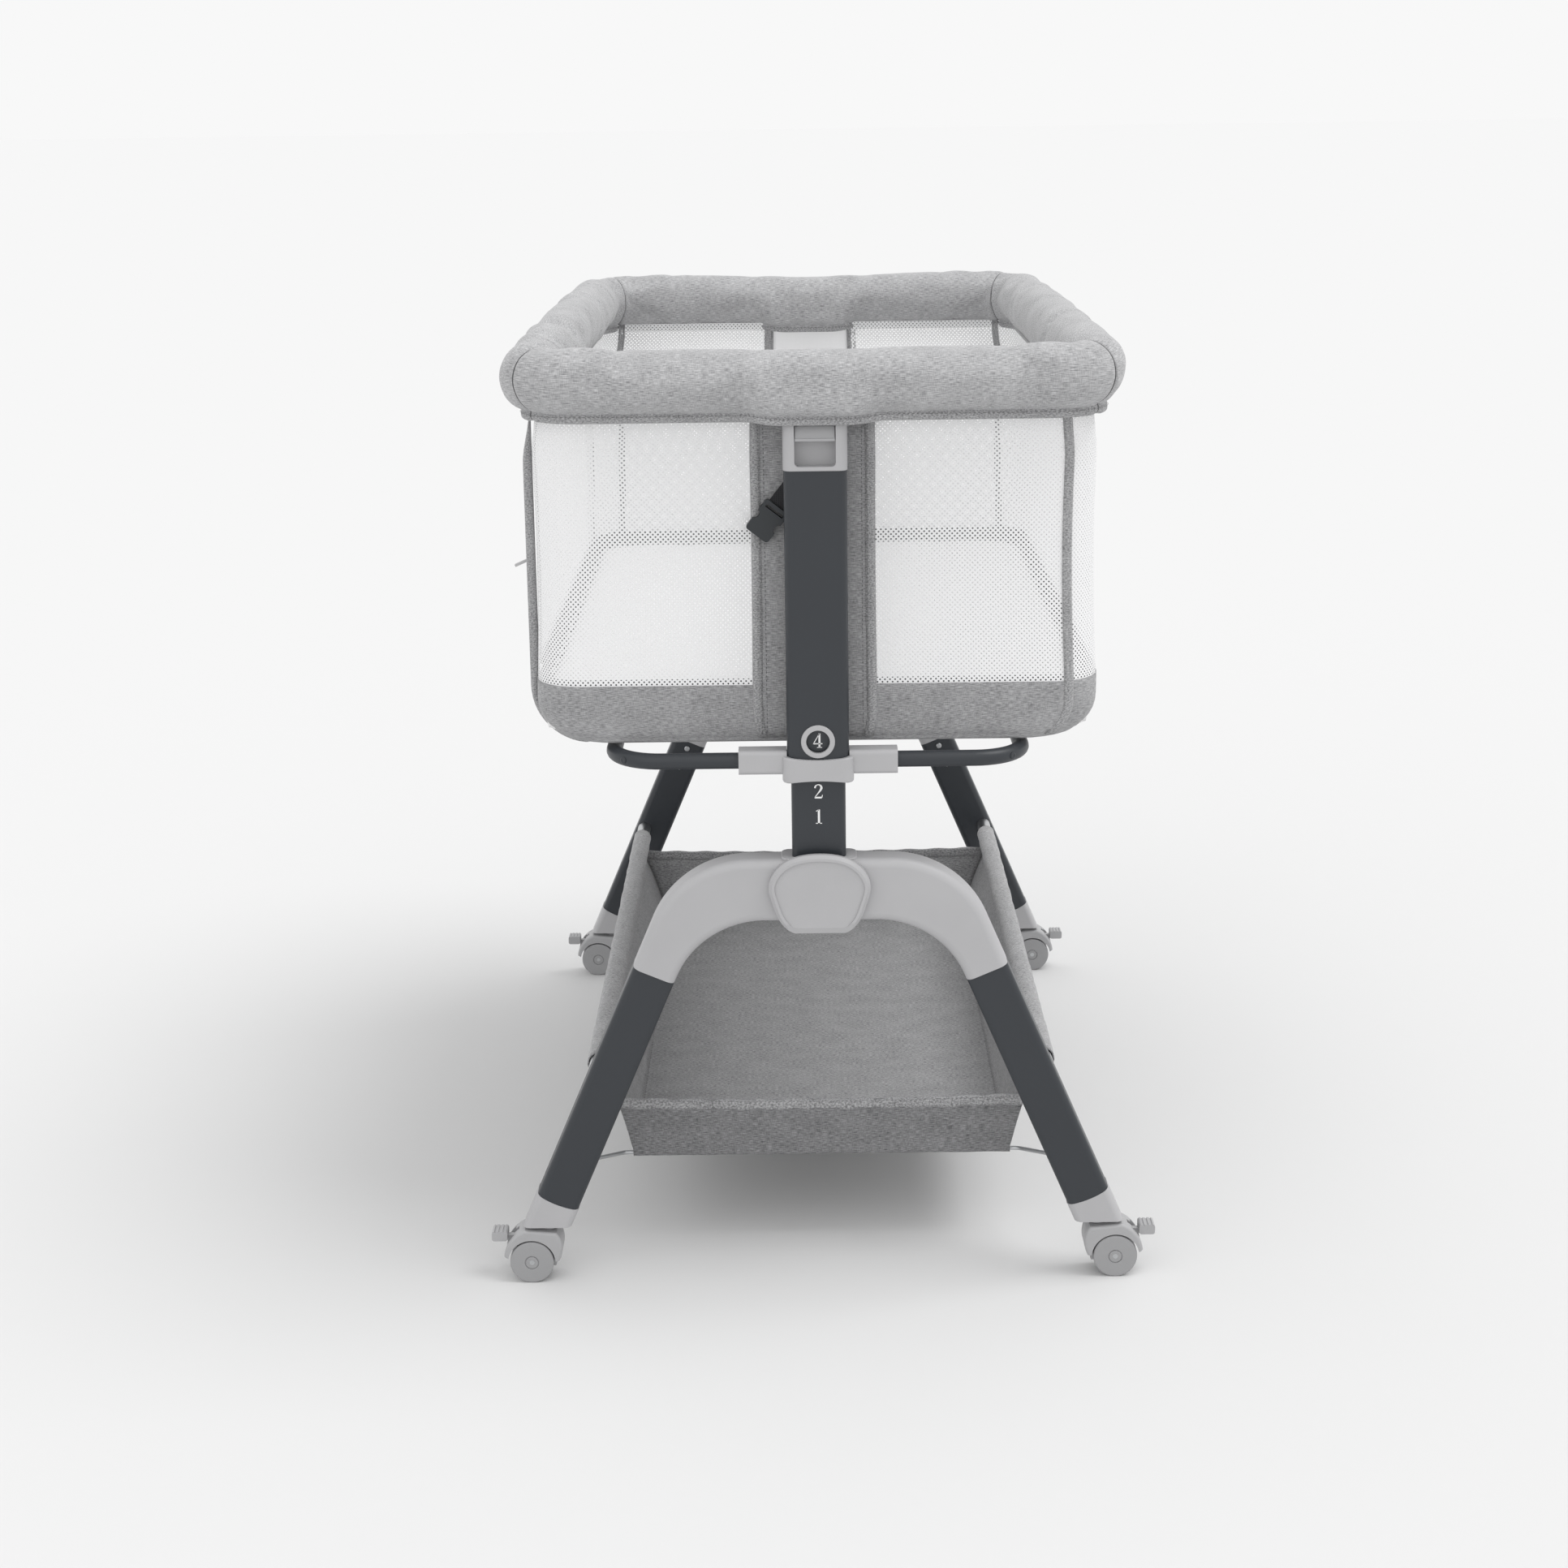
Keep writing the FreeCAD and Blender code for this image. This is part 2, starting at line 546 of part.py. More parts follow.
def build_hub_cover():
    """Shield cover on the rear arch: bevelled rim, sunk face and a lower lip that slopes back."""
    face_y = ARCH_D / 2.0
    front_y = face_y + HUB_T
    base = hub_outline(0.0).extrude(Vector(0, HUB_T - HUB_BEVEL, 0))
    base.translate(Vector(0, face_y, 0))
    wide, narrow = hub_outline(0.0).OuterWire, hub_outline(HUB_BEVEL).OuterWire
    wide.translate(Vector(0, front_y - HUB_BEVEL, 0))
    narrow.translate(Vector(0, front_y, 0))
    shield = base.fuse(Part.makeLoft([wide, narrow], True, True))
    sunk = hub_outline(HUB_RIM).extrude(Vector(0, 2 * HUB_SINK, 0))
    sunk.translate(Vector(0, front_y - HUB_SINK, 0))
    under = ARCH_TOP - ARCH_MID_H
    down, up, back = HUB_LIP
    wedge = polygon_face([Vector(-BOSS_W, front_y + 1, under - down),
                          Vector(-BOSS_W, front_y + 1, under + up),
                          Vector(-BOSS_W, front_y - back, under - down)]).extrude(Vector(2 * BOSS_W, 0, 0))
    collar_way = block(-COLLAR_W, COLLAR_W, 0, COLLAR_D / 2.0 + HUB_TO_COLLAR, ARCH_TOP, 2 * ARCH_TOP)
    return shield.cut(sunk).cut(wedge).cut(collar_way)


def build_lower_post():
    """Inner post tube with a lock hole for every setting, on the side towards the bed."""
    top = UPPER_Z0 + (SETTINGS - REST_SETTING) * SETTING_PITCH + LOWER_SPARE
    tube = rounded_tube(LOWER_W, LOWER_D, LOWER_R, LOWER_WALL, ARCH_TOP - POST_SOCKET, top)
    radius = LOCK_PIN_D / 2.0 + LOCK_PIN_CLEAR
    for setting in range(1, SETTINGS + 1):
        z = LOCK_PIN_Z + (setting - REST_SETTING) * SETTING_PITCH
        tube = tube.cut(Part.makeCylinder(radius, LOWER_D, Vector(0, 0, z), Vector(0, 1, 0)))
    return tube


def build_rivets():
    """Rivet heads on the inner faces of the four legs."""
    heads = []
    for sx in (1.0, -1.0):
        for sy in (1.0, -1.0):
            for down in RIVET_DOWN:
                at = JOINT_MID + LEG_DIR * down
                disc = Part.makeCylinder(RIVET_D / 2.0, RIVET_PROUD, Vector(at.x, 0, at.z), Vector(0, -1, 0))
                rim = [e for e in disc.Edges if e.BoundBox.YMax < -RIVET_PROUD + 0.01]
                disc = rounded(disc, RIVET_EDGE_R, rim)
                disc.translate(Vector(0, LEG_FACE_Y, 0))
                heads.append(mirrored(disc, sx, sy))
    return Part.makeCompound(heads)


def build_side_tube():
    """Right-hand stretcher between the inner faces of the front and rear legs."""
    start = Vector(SIDE_TUBE_X, -LEG_FACE_Y, SIDE_TUBE_Z)
    outer = Part.makeCylinder(SIDE_TUBE_D / 2.0, 2 * LEG_FACE_Y, start, Vector(0, 1, 0))
    inner = Part.makeCylinder(SIDE_TUBE_D / 2.0 - SIDE_TUBE_WALL, 2 * LEG_FACE_Y, start, Vector(0, 1, 0))
    return outer.cut(inner)


def build_basket():
    """Fabric basket: floor, sloping sides hung from sleeves, low front wall, higher back wall."""
    hollow_r = SIDE_TUBE_D / 2.0 + SLEEVE_GAP
    top_half = SIDE_TUBE_X + BASKET_TOP_OUT
    floor, top, t = BASKET_FLOOR_Z, SIDE_TUBE_Z - hollow_r, BASKET_T
    foot, half = BASKET_FLOOR_HALF, BASKET_HALF_L
    outline = [Vector(-foot, 0, floor), Vector(foot, 0, floor), Vector(top_half, 0, top), Vector(-top_half, 0, top)]
    inner = [Vector(-foot + t, 0, floor + t), Vector(foot - t, 0, floor + t),
             Vector(top_half - t, 0, top + 1), Vector(-top_half + t, 0, top + 1)]
    shell = polygon_face(outline).extrude(Vector(0, 2 * half, 0))
    shell.translate(Vector(0, -half, 0))
    space = polygon_face(inner).extrude(Vector(0, 2 * (half - t), 0))
    space.translate(Vector(0, -half + t, 0))
    shell = shell.cut(space)
    over_front = block(-foot - 1.5 * t, foot + 1.5 * t, -half - 1, -half + 1.25 * t, floor + BASKET_FRONT_H, 2 * top)
    over_back = block(-foot, foot, half - 1.25 * t, half + 1, floor + BASKET_BACK_H, 2 * top)
    shell = shell.cut(over_front).cut(over_back)
    for sx in (1.0, -1.0):
        start = Vector(sx * SIDE_TUBE_X, -half, SIDE_TUBE_Z)
        shell = shell.fuse(Part.makeCylinder(hollow_r + SLEEVE_T, 2 * half, start, Vector(0, 1, 0)))
    for sx in (1.0, -1.0):
        start = Vector(sx * SIDE_TUBE_X, -half - 1, SIDE_TUBE_Z)
        shell = shell.cut(Part.makeCylinder(hollow_r, 2 * half + 2, start, Vector(0, 1, 0)))
    return shell.removeSplitter()


def build_basket_rod():
    """Wire across the rear end of the basket's floor, its ends raised to the legs' inner faces."""
    low = BASKET_FLOOR_Z - ROD_D / 2.0 - ROD_GAP
    high = low + ROD_RISE
    corner_y = BASKET_HALF_L - ROD_D
    leg_x = LEG_END.x - (high - LEG_END.z) * TAN - LEG_W / 2.0 + ROD_LEG_IN
    corner_x = BASKET_FLOOR_HALF + ROD_CORNER_OUT
    leg_y = LEG_FACE_Y
    near_y = leg_y - ROD_END_RUN
    points = [Vector(-leg_x, leg_y, high), Vector(-leg_x, near_y, high), Vector(-corner_x, corner_y, low),
              Vector(corner_x, corner_y, low), Vector(leg_x, near_y, high), Vector(leg_x, leg_y, high)]
    return pipe(points, [ROD_BEND_R] * 4, ROD_D, 0.0)


# ================================================================ casters
def wheel_centre():
    """Centre of the rear right caster's wheels, in the plane of the posts."""
    return Vector(WHEEL_X, 0, WHEEL_D / 2.0)


def build_fork():
    """Right-hand caster body: hood, centre web, stem. Made in the plane Y = 0."""
    c = wheel_centre()

    def at(x, z):
        """Point at an offset from the wheels' centre."""
        return c + Vector(x, 0, z)

    top = CAP_UNDER - HOOD_TO_CAP - c.z
    out_r = HOOD_IN_R + HOOD_WALL
    front_in, front_out = HOOD_FRONT_UP
    brow = Vector(0.70 * (out_r + 3.3), 0, 0.72 * (out_r + 3.3))
    back_x, back_top = -TRAIL - STEM_RING[0], top - 4.0
    edges = [
        Part.makeLine(at(HOOD_IN_R, front_in), at(out_r, front_out)),
        Part.Arc(at(out_r, front_out), at(brow.x, brow.z), at(6.0, top - 1.0)).toShape(),
        Part.makeLine(at(6.0, top - 1.0), at(back_x, back_top)),
        Part.Arc(at(back_x, back_top), at(back_x - 5.0, 0.5 * back_top), at(-out_r, HOOD_BACK_UP)).toShape(),
        Part.makeLine(at(-out_r, HOOD_BACK_UP), at(-HOOD_IN_R, HOOD_BACK_UP)),
        Part.Arc(at(-HOOD_IN_R, HOOD_BACK_UP), at(0, HOOD_IN_R), at(HOOD_IN_R, front_in)).toShape(),
    ]
    hood = Part.Face(Part.Wire(edges)).extrude(Vector(0, 2 * HOOD_HALF, 0))
    hood.translate(Vector(0, -HOOD_HALF, 0))
    rim = [e for e in hood.Edges
           if abs(e.BoundBox.YLength) < 0.01 and e.BoundBox.ZMax > c.z + HOOD_IN_R + HOOD_WALL - 1.0]
    hood = rounded(hood, HOOD_EDGE_R, rim)
    web = Part.makeCylinder(HOOD_IN_R + 1.0, 2 * WEB_HALF, c - Vector(0, WEB_HALF, 0), Vector(0, 1, 0))
    web = web.cut(block(c.x - WHEEL_D, c.x + WHEEL_D, -HOOD_HALF, HOOD_HALF, -WHEEL_D, c.z - AXLE_D * 1.6))
    ring_r, ring_h, ring_gap = STEM_RING
    ring_z = CAP_UNDER - ring_h - ring_gap
    ring = Part.makeCylinder(ring_r, ring_h, Vector(STEM_X, 0, ring_z))
    stem = Part.makeCylinder(STEM_D / 2.0, CAP_UNDER + STEM_UP - 1.0 - ring_z, Vector(STEM_X, 0, ring_z))
    body = hood.fuse(web).fuse(ring).fuse(stem)
    body = body.cut(Part.makeCylinder(AXLE_D / 2.0, 3 * WEB_HALF, c - Vector(0, 1.5 * WEB_HALF, 0), Vector(0, 1, 0)))
    p = pedal_pivot()
    arm_y, arm_z = PEDAL_ARM_HALF[0] + PEDAL_SLOT_SIDE, PEDAL_ARM_HALF[1] + PEDAL_SLOT_SIDE
    pad_y = PEDAL_PAD_HALF_W + PEDAL_PAD_GAP
    low, high = p.z - WHEEL_D, p.z + PEDAL_PAD[3] + PEDAL_SLOT_SIDE
    body = body.cut(block(p.x - arm_z, p.x + WHEEL_D, -arm_y, arm_y, p.z - 4 * arm_z, high))
    body = body.cut(block(p.x + PEDAL_PAD[0] - 7.3, p.x + WHEEL_D, -pad_y, pad_y, low, high))
    pin_half = PEDAL_PIN_HALF + 4 * PEDAL_PIN_CLEAR
    pin = Part.makeCylinder(PEDAL_PIN_D / 2.0 + PEDAL_PIN_CLEAR, 2 * pin_half, p - Vector(0, pin_half, 0),
                            Vector(0, 1, 0))
    return body.cut(pin)


def pedal_pivot():
    """Pivot of the brake pedal of a right-hand caster."""
    reach, angle = WHEEL_D / 2.0 + PEDAL_OVER_WHEEL, math.radians(PEDAL_PIVOT_ANGLE)
    return wheel_centre() + Vector(reach * math.cos(angle), 0, reach * math.sin(angle))


def build_pedal():
    """Brake pedal: ribbed pad, arm and cross pin in one piece."""
    p = pedal_pivot()
    near, far, under, top = PEDAL_PAD
    half = PEDAL_PAD_HALF_W
    pad = block(p.x + near, p.x + far, -half, half, p.z + under, p.z + top)
    pad = rounded(pad, PEDAL_PAD_R, [e for e in pad.Edges if e.BoundBox.YLength > half])
    width, pitch, deep = PEDAL_GROOVE
    for i in range(PEDAL_GROOVES):
        start = p.x + near + 3.0 + pitch * i
        pad = pad.cut(block(start, start + width, -2 * half, 2 * half, p.z + top - deep, p.z + 2 * top))
    arm_y, arm_z = PEDAL_ARM_HALF
    arm = block(p.x, p.x + near + PEDAL_PAD_R, -arm_y, arm_y, p.z - arm_z, p.z + arm_z)
    knuckle = Part.makeCylinder(arm_z, 2 * arm_y, p - Vector(0, arm_y, 0), Vector(0, 1, 0))
    pin = Part.makeCylinder(PEDAL_PIN_D / 2.0, 2 * PEDAL_PIN_HALF, p - Vector(0, PEDAL_PIN_HALF, 0), Vector(0, 1, 0))
    return pad.fuse(arm).fuse(knuckle).fuse(pin).removeSplitter()


def build_wheels():
    """Pair of wheels on one axle, with a ring groove in each outer face."""
    c = wheel_centre()
    pair = []
    for sy in (1.0, -1.0):
        inner = sy * (WEB_HALF + WHEEL_GAP)
        outward = Vector(0, sy, 0)
        outer_y = inner + sy * WHEEL_T
        disc = Part.makeCylinder(WHEEL_D / 2.0, WHEEL_T, Vector(c.x, inner, c.z), outward)
        rims = [e for e in disc.Edges if abs(e.BoundBox.YMin - outer_y) < 0.01 and abs(e.BoundBox.YLength) < 0.01]
        disc = rounded(disc, WHEEL_EDGE_R, rims)
        foot = Vector(c.x, outer_y - sy * GROOVE_DEEP, c.z)
        groove = Part.makeCylinder(HUBCAP_R[1], 2 * GROOVE_DEEP, foot, outward)
        groove = groove.cut(Part.makeCylinder(HUBCAP_R[0], 2 * GROOVE_DEEP, foot, outward))
        bore = Part.makeCylinder(AXLE_D / 2.0 + AXLE_CLEAR, WHEEL_T + 2, Vector(c.x, inner - sy, c.z), outward)
        pair.append(disc.cut(groove).cut(bore))
    return Part.makeCompound(pair)


def build_axle():
    """Axle pin through both wheels and the web."""
    half = WEB_HALF + WHEEL_GAP + WHEEL_T
    c = wheel_centre()
    return Part.makeCylinder(AXLE_D / 2.0, 2 * half, c - Vector(0, half, 0), Vector(0, 1, 0))


# ================================================================ bed frame
def build_upper_post():
    """Outer post tube with the setting window on its outer face, for the front end."""
    tube = rounded_tube(UPPER_W, UPPER_D, UPPER_R, UPPER_WALL, UPPER_Z0, LATCH_Z0)
    window = Part.makeCylinder(WINDOW_D / 2.0, UPPER_D / 2.0, Vector(0, -UPPER_D * 0.75, WINDOW_Z), Vector(0, 1, 0))
    return tube.cut(window)


def build_window_ring():
    """Flanged ring in the setting window, for the front end."""
    face = -UPPER_D / 2.0
    inward = Vector(0, 1, 0)
    flange = Part.makeCylinder(RING_OD / 2.0, RING_PROUD, Vector(0, face - RING_PROUD, WINDOW_Z), inward)
    flange = rounded(flange, RING_EDGE_R, [e for e in flange.Edges if e.BoundBox.YMax < face - RING_PROUD + 0.01])
    spigot = Part.makeCylinder(WINDOW_D / 2.0, UPPER_WALL, Vector(0, face, WINDOW_Z), inward)
    bore = Part.makeCylinder(RING_ID / 2.0, 2 * (RING_PROUD + UPPER_WALL),
                             Vector(0, face - 1.5 * RING_PROUD, WINDOW_Z), inward)
    return flange.fuse(spigot).cut(bore)


def build_collar():
    """Collar at the foot of the upper tube, with a sleeve to each side for the base tubes."""
    body = rounded_bar(COLLAR_W, COLLAR_D, COLLAR_R, COLLAR_Z, COLLAR_Z + COLLAR_H)
    body = rounded(body, COLLAR_EDGE_R, [e for e in body.Edges if abs(e.BoundBox.ZLength) < 0.01])
    for centre_z in (COLLAR_Z + COLLAR_DIP - COLLAR_BOW_R, COLLAR_Z + COLLAR_H - COLLAR_DIP + COLLAR_BOW_R):
        bow = Part.makeCylinder(COLLAR_BOW_R, 2 * COLLAR_D, Vector(0, -COLLAR_D, centre_z), Vector(0, 1, 0))
        body = body.cut(bow)
    for sx in (1.0, -1.0):
        half = SLEEVE_H / 2.0
        sleeve = block(-half, half, -half, half, 0, SLEEVE_END_X)
        sleeve = rounded(sleeve, SLEEVE_R, [e for e in sleeve.Edges if e.BoundBox.ZLength > SLEEVE_END_X / 2])
        sleeve.rotate(Vector(0, 0, 0), Vector(0, 1, 0), 90.0)
        sleeve.translate(Vector(0, 0, BASE_Z))
        inside = block(-1, COLLAR_W / 2.0 - SLEEVE_IN, -COLLAR_D, COLLAR_D, COLLAR_Z, 2 * BASE_Z)
        body = body.fuse(mirrored(sleeve.cut(inside), sx, 1.0))
    seat = rounded_bar(UPPER_W, UPPER_D, UPPER_R, UPPER_Z0, BASE_Z + SLEEVE_H)
    bore = rounded_bar(LOWER_W + 2 * COLLAR_CLEAR, LOWER_D + 2 * COLLAR_CLEAR, LOWER_R + COLLAR_CLEAR,
                       COLLAR_Z - 1, BASE_Z + SLEEVE_H)
    body = body.cut(seat).cut(bore)
    tube_hole = Part.makeCylinder(BASE_TUBE_D / 2.0, 2 * SLEEVE_END_X + 2,
                                  Vector(-SLEEVE_END_X - 1, 0, BASE_Z), Vector(1, 0, 0))
    keep = block(-BASE_TUBE_STOP, BASE_TUBE_STOP, -COLLAR_D, COLLAR_D, 0, 2 * BASE_Z)
    body = body.cut(tube_hole.cut(keep))
    pin_hole = Part.makeCylinder(LOCK_PIN_D / 2.0, COLLAR_D, Vector(0, 0, LOCK_PIN_Z), Vector(0, 1, 0))
    return body.cut(pin_hole).removeSplitter()


def build_lock_pins():
    """Lock pins drawn back just clear of the posts, in the front and rear collars."""
    start = LOWER_D / 2.0 + COLLAR_CLEAR + LOCK_PIN_BACK
    length = COLLAR_D / 2.0 + LOCK_PIN_HEAD - start
    pins = []
    for sy in (1.0, -1.0):
        pin = Part.makeCylinder(LOCK_PIN_D / 2.0, length, Vector(0, start - POST_Y, LOCK_PIN_Z), Vector(0, 1, 0))
        pins.append(mirrored(pin, 1.0, -sy))
    return Part.makeCompound(pins)


def build_latch_housing():
    """Moulded head of the post: plug in the tube, finger recess in front, saddle under the rail tube."""
    body = rounded_bar(LATCH_W, LATCH_D, UPPER_R, LATCH_Z0, LATCH_Z0 + LATCH_H)
    body = rounded(body, LATCH_EDGE_R, [e for e in body.Edges if e.BoundBox.ZMax < LATCH_Z0 + 0.01])
    inset = 2 * (UPPER_WALL + PLUG_CLEAR)
    plug = rounded_bar(UPPER_W - inset, UPPER_D - inset, UPPER_R - UPPER_WALL, LATCH_Z0 - LATCH_PLUG, LATCH_Z0 + 1)
    z0, half = LATCH_Z0 + RECESS_UP, RECESS_W / 2.0
    recess = block(-half, half, -LATCH_D, -LATCH_D / 2.0 + RECESS_DEEP, z0, z0 + RECESS_H)
    recess = rounded(recess, RECESS_R, [e for e in recess.Edges
                                          if e.BoundBox.YLength > RECESS_DEEP and e.BoundBox.ZMax < z0 + 1])
    saddle = Part.makeCylinder(RAIL_TUBE_D / 2.0, 2 * LATCH_W, Vector(-LATCH_W, 0, RAIL_Z), Vector(1, 0, 0))
    return body.fuse(plug).cut(recess).cut(saddle)


def build_trigger():
    """Sprung finger bar in the latch recess, for the front end."""
    top = LATCH_Z0 + RECESS_UP + RECESS_H - TRIGGER_TRAVEL - TRIGGER_TOP_GAP
    low, half = top - TRIGGER_H, TRIGGER_W / 2.0
    face = -LATCH_D / 2.0 + TRIGGER_IN
    out, back, thick = TRIGGER_LIP
    section = polygon_face([Vector(-half, face, low), Vector(-half, face + TRIGGER_T, low),
                            Vector(-half, face + TRIGGER_T, top), Vector(-half, face + TRIGGER_SLOPE, top)])
    bar = section.extrude(Vector(TRIGGER_W, 0, 0))
    lip = block(-half, half, face - out, face - out + back, low, low + thick)
    return bar.fuse(lip).removeSplitter()


def build_base_tube():
    """Right-hand base tube, from the front collar round under the bed to the rear collar."""
    start = BASE_TUBE_STOP
    points = [Vector(start, -POST_Y, BASE_Z), Vector(BASE_TUBE_X, -POST_Y, BASE_Z),
              Vector(BASE_TUBE_X, POST_Y, BASE_Z), Vector(start, POST_Y, BASE_Z)]
    return pipe(points, [BASE_BEND_R, BASE_BEND_R], BASE_TUBE_D, BASE_TUBE_WALL)


# ================================================================ rail
def disc_face(radius):
    """Round face about the Y axis, in the plane Y = 0."""
    return Part.Face(Part.Wire(Part.makeCircle(radius, Vector(0, 0, 0), Vector(0, 1, 0))))


def rail_section(kind):
    """Rail section in the plane Y = 0, centred on the tube, at X = 0, Z = 0."""
    r = RAIL_TUBE_D / 2.0
    if kind == "tube":
        return disc_face(r).cut(disc_face(r - RAIL_TUBE_WALL))
    grow = WALL_TO_PAD if kind == "envelope" else 0.0
    w = RAIL_PAD_W / 2.0 + grow
    hem = -RAIL_PAD_DROP - grow
    side = Vector(w, 0, 0)
    low = Vector(HEM_HALF_W + grow, 0, hem)
    bulge = Vector(w * 0.80, 0, hem * 0.62)
    edges = [
        Part.Arc(Vector(-w, 0, 0), Vector(0, 0, w), side).toShape(),
        Part.Arc(side, bulge, low).toShape(),
        Part.makeLine(low, Vector(-low.x, 0, low.z)),
        Part.Arc(Vector(-low.x, 0, low.z), Vector(-bulge.x, 0, bulge.z), Vector(-w, 0, 0)).toShape(),
    ]
    pad = Part.Face(Part.Wire(edges))
    if kind == "envelope":
        return pad
    return pad.cut(disc_face(r + PAD_GAP))


def straight_y(section, x, y0, y1):
    """Rail section run along Y."""
    face = section.copy()
    face.translate(Vector(x, y0, RAIL_Z))
    return face.extrude(Vector(0, y1 - y0, 0))


def straight_x(section, y, x0, x1):
    """Rail section run along X."""
    face = section.copy()
    face.rotate(Vector(0, 0, 0), Vector(0, 0, 1), 90.0)
    face.translate(Vector(x0, y, RAIL_Z))
    return face.extrude(Vector(x1 - x0, 0, 0))


def corner_turn(section, sx, sy):
    """Rail section turned through a quarter about a corner's centre."""
    face = section.copy()
    face.translate(Vector(RAIL_X, POST_Y - RAIL_BEND_R, RAIL_Z))
    turn = face.revolve(Vector(RAIL_X - RAIL_BEND_R, POST_Y - RAIL_BEND_R, 0), Vector(0, 0, 1), 90.0)
    return mirrored(turn, sx, sy)


def fixed_rail(kind):
    """Rail round the front end, the right side and the rear end, with short returns on the left."""
    section = rail_section(kind)
    x_in, y_in = RAIL_X - RAIL_BEND_R, POST_Y - RAIL_BEND_R
    first = SIDE_RAIL_HALF + RAIL_END_GAP
    pieces = [
        straight_y(section, RAIL_X, -y_in, y_in),
        straight_x(section, -POST_Y, -x_in, x_in),
        straight_x(section, POST_Y, -x_in, x_in),
        straight_y(section, -RAIL_X, -y_in, -first),
        straight_y(section, -RAIL_X, first, y_in),
        corner_turn(section, 1.0, 1.0),
        corner_turn(section, 1.0, -1.0),
        corner_turn(section, -1.0, 1.0),
        corner_turn(section, -1.0, -1.0),
    ]
    solid = pieces[0].multiFuse(pieces[1:]).removeSplitter()
    return solid


def build_rail_pad():
    """Padding of the fixed rail, notched over the two post heads."""
    pad = fixed_rail("pad")
    half_x, half_y = LATCH_W / 2.0 + PAD_TO_LATCH, LATCH_D / 2.0 + PAD_TO_LATCH
    for post_y in (-POST_Y, POST_Y):
        pad = pad.cut(block(-half_x, half_x, post_y - half_y, post_y + half_y, HEM_Z - 1, RAIL_Z))
    return pad


def side_rail(kind):
    """Straight rail of the drop side."""
    return straight_y(rail_section(kind), -RAIL_X, -SIDE_RAIL_HALF, SIDE_RAIL_HALF)


# ================================================================ fabric body
def rounded_box(x, y, z0, z1, radius):
    """Box of half sizes x and y with rounded upright corners."""
    return rounded_bar(2 * x, 2 * y, radius, z0, z1)


def cradle(x, y, z0, z1, corner_r, lower_r):
    """Box with rounded upright corners, whose two long lower edges are rounded too."""
    lean = lower_r * (1.0 - math.sqrt(0.5))
    edges = [
        Part.makeLine(Vector(-x, 0, z1), Vector(-x, 0, z0 + lower_r)),
        Part.Arc(Vector(-x, 0, z0 + lower_r), Vector(lean - x, 0, z0 + lean), Vector(lower_r - x, 0, z0)).toShape(),
        Part.makeLine(Vector(lower_r - x, 0, z0), Vector(x - lower_r, 0, z0)),
        Part.Arc(Vector(x - lower_r, 0, z0), Vector(x - lean, 0, z0 + lean), Vector(x, 0, z0 + lower_r)).toShape(),
        Part.makeLine(Vector(x, 0, z0 + lower_r), Vector(x, 0, z1)),
        Part.makeLine(Vector(x, 0, z1), Vector(-x, 0, z1)),
    ]
    trough = Part.Face(Part.Wire(edges)).extrude(Vector(0, 2 * y + 2, 0))
    trough.translate(Vector(0, -y - 1, 0))
    return rounded_box(x, y, z0 - 1, z1, corner_r).common(trough)


def build_bed_shell():
    """Fabric body: floor, lower band, front, right and rear walls, and short returns on the left."""
    top = BODY_TOP + WALL_TUCK
    outer = cradle(BODY_X, BODY_Y, BODY_Z, top, BODY_CORNER_R, BODY_LOWER_R)
    inner = cradle(BODY_X - WALL_T, BODY_Y - WALL_T, BODY_Z + WALL_T, top + 1,
                   BODY_CORNER_R - WALL_T, BODY_LOWER_R - WALL_T)
    shell = outer.cut(inner)
    opening = block(-BODY_X - 1, -BODY_X + WALL_T + 1, -DROP_HALF - PANEL_GAP, DROP_HALF + PANEL_GAP,
                    BAND_TOP, top + 1)
    above_hem = block(-BED_WIDTH, BED_WIDTH, -BED_LENGTH, BED_LENGTH, HEM_Z - WALL_TO_PAD, top + 1)
    middle = rounded_box(RAIL_X - HEM_HALF_W, POST_Y - HEM_HALF_W, BODY_Z, top + 1, RAIL_BEND_R)
    return shell.cut(opening).cut(fixed_rail("envelope")).cut(above_hem.cut(middle))


def build_side_panel():
    """Mesh panel of the drop side, hinged along its lower edge, up to the side rail's hem."""
    return block(-BODY_X, -BODY_X + WALL_T, -DROP_HALF, DROP_HALF, BAND_TOP + PANEL_GAP, HEM_Z - PANEL_TO_PAD)


def build_base_board():
    """Stiff board on the body's fabric floor."""
    low = BODY_Z + WALL_T + BOARD_GAP
    half_y = BODY_Y - WALL_T - BOARD_END_GAP
    return rounded_box(BODY_X - BODY_LOWER_R, half_y, low, low + BOARD_T, BODY_CORNER_R - BOARD_END_GAP)


def build_mattress():
    """Foam mattress on the board."""
    z0 = BODY_Z + WALL_T + BOARD_T + 2 * BOARD_GAP
    inset = WALL_T + MATTRESS_GAP
    top = z0 + MATTRESS_T
    pad = cradle(BODY_X - inset, BODY_Y - inset, z0, top, BODY_CORNER_R - inset, MATTRESS_LOWER_R)
    return rounded(pad, MATTRESS_EDGE_R, [e for e in pad.Edges if e.BoundBox.ZMin > top - 0.01])


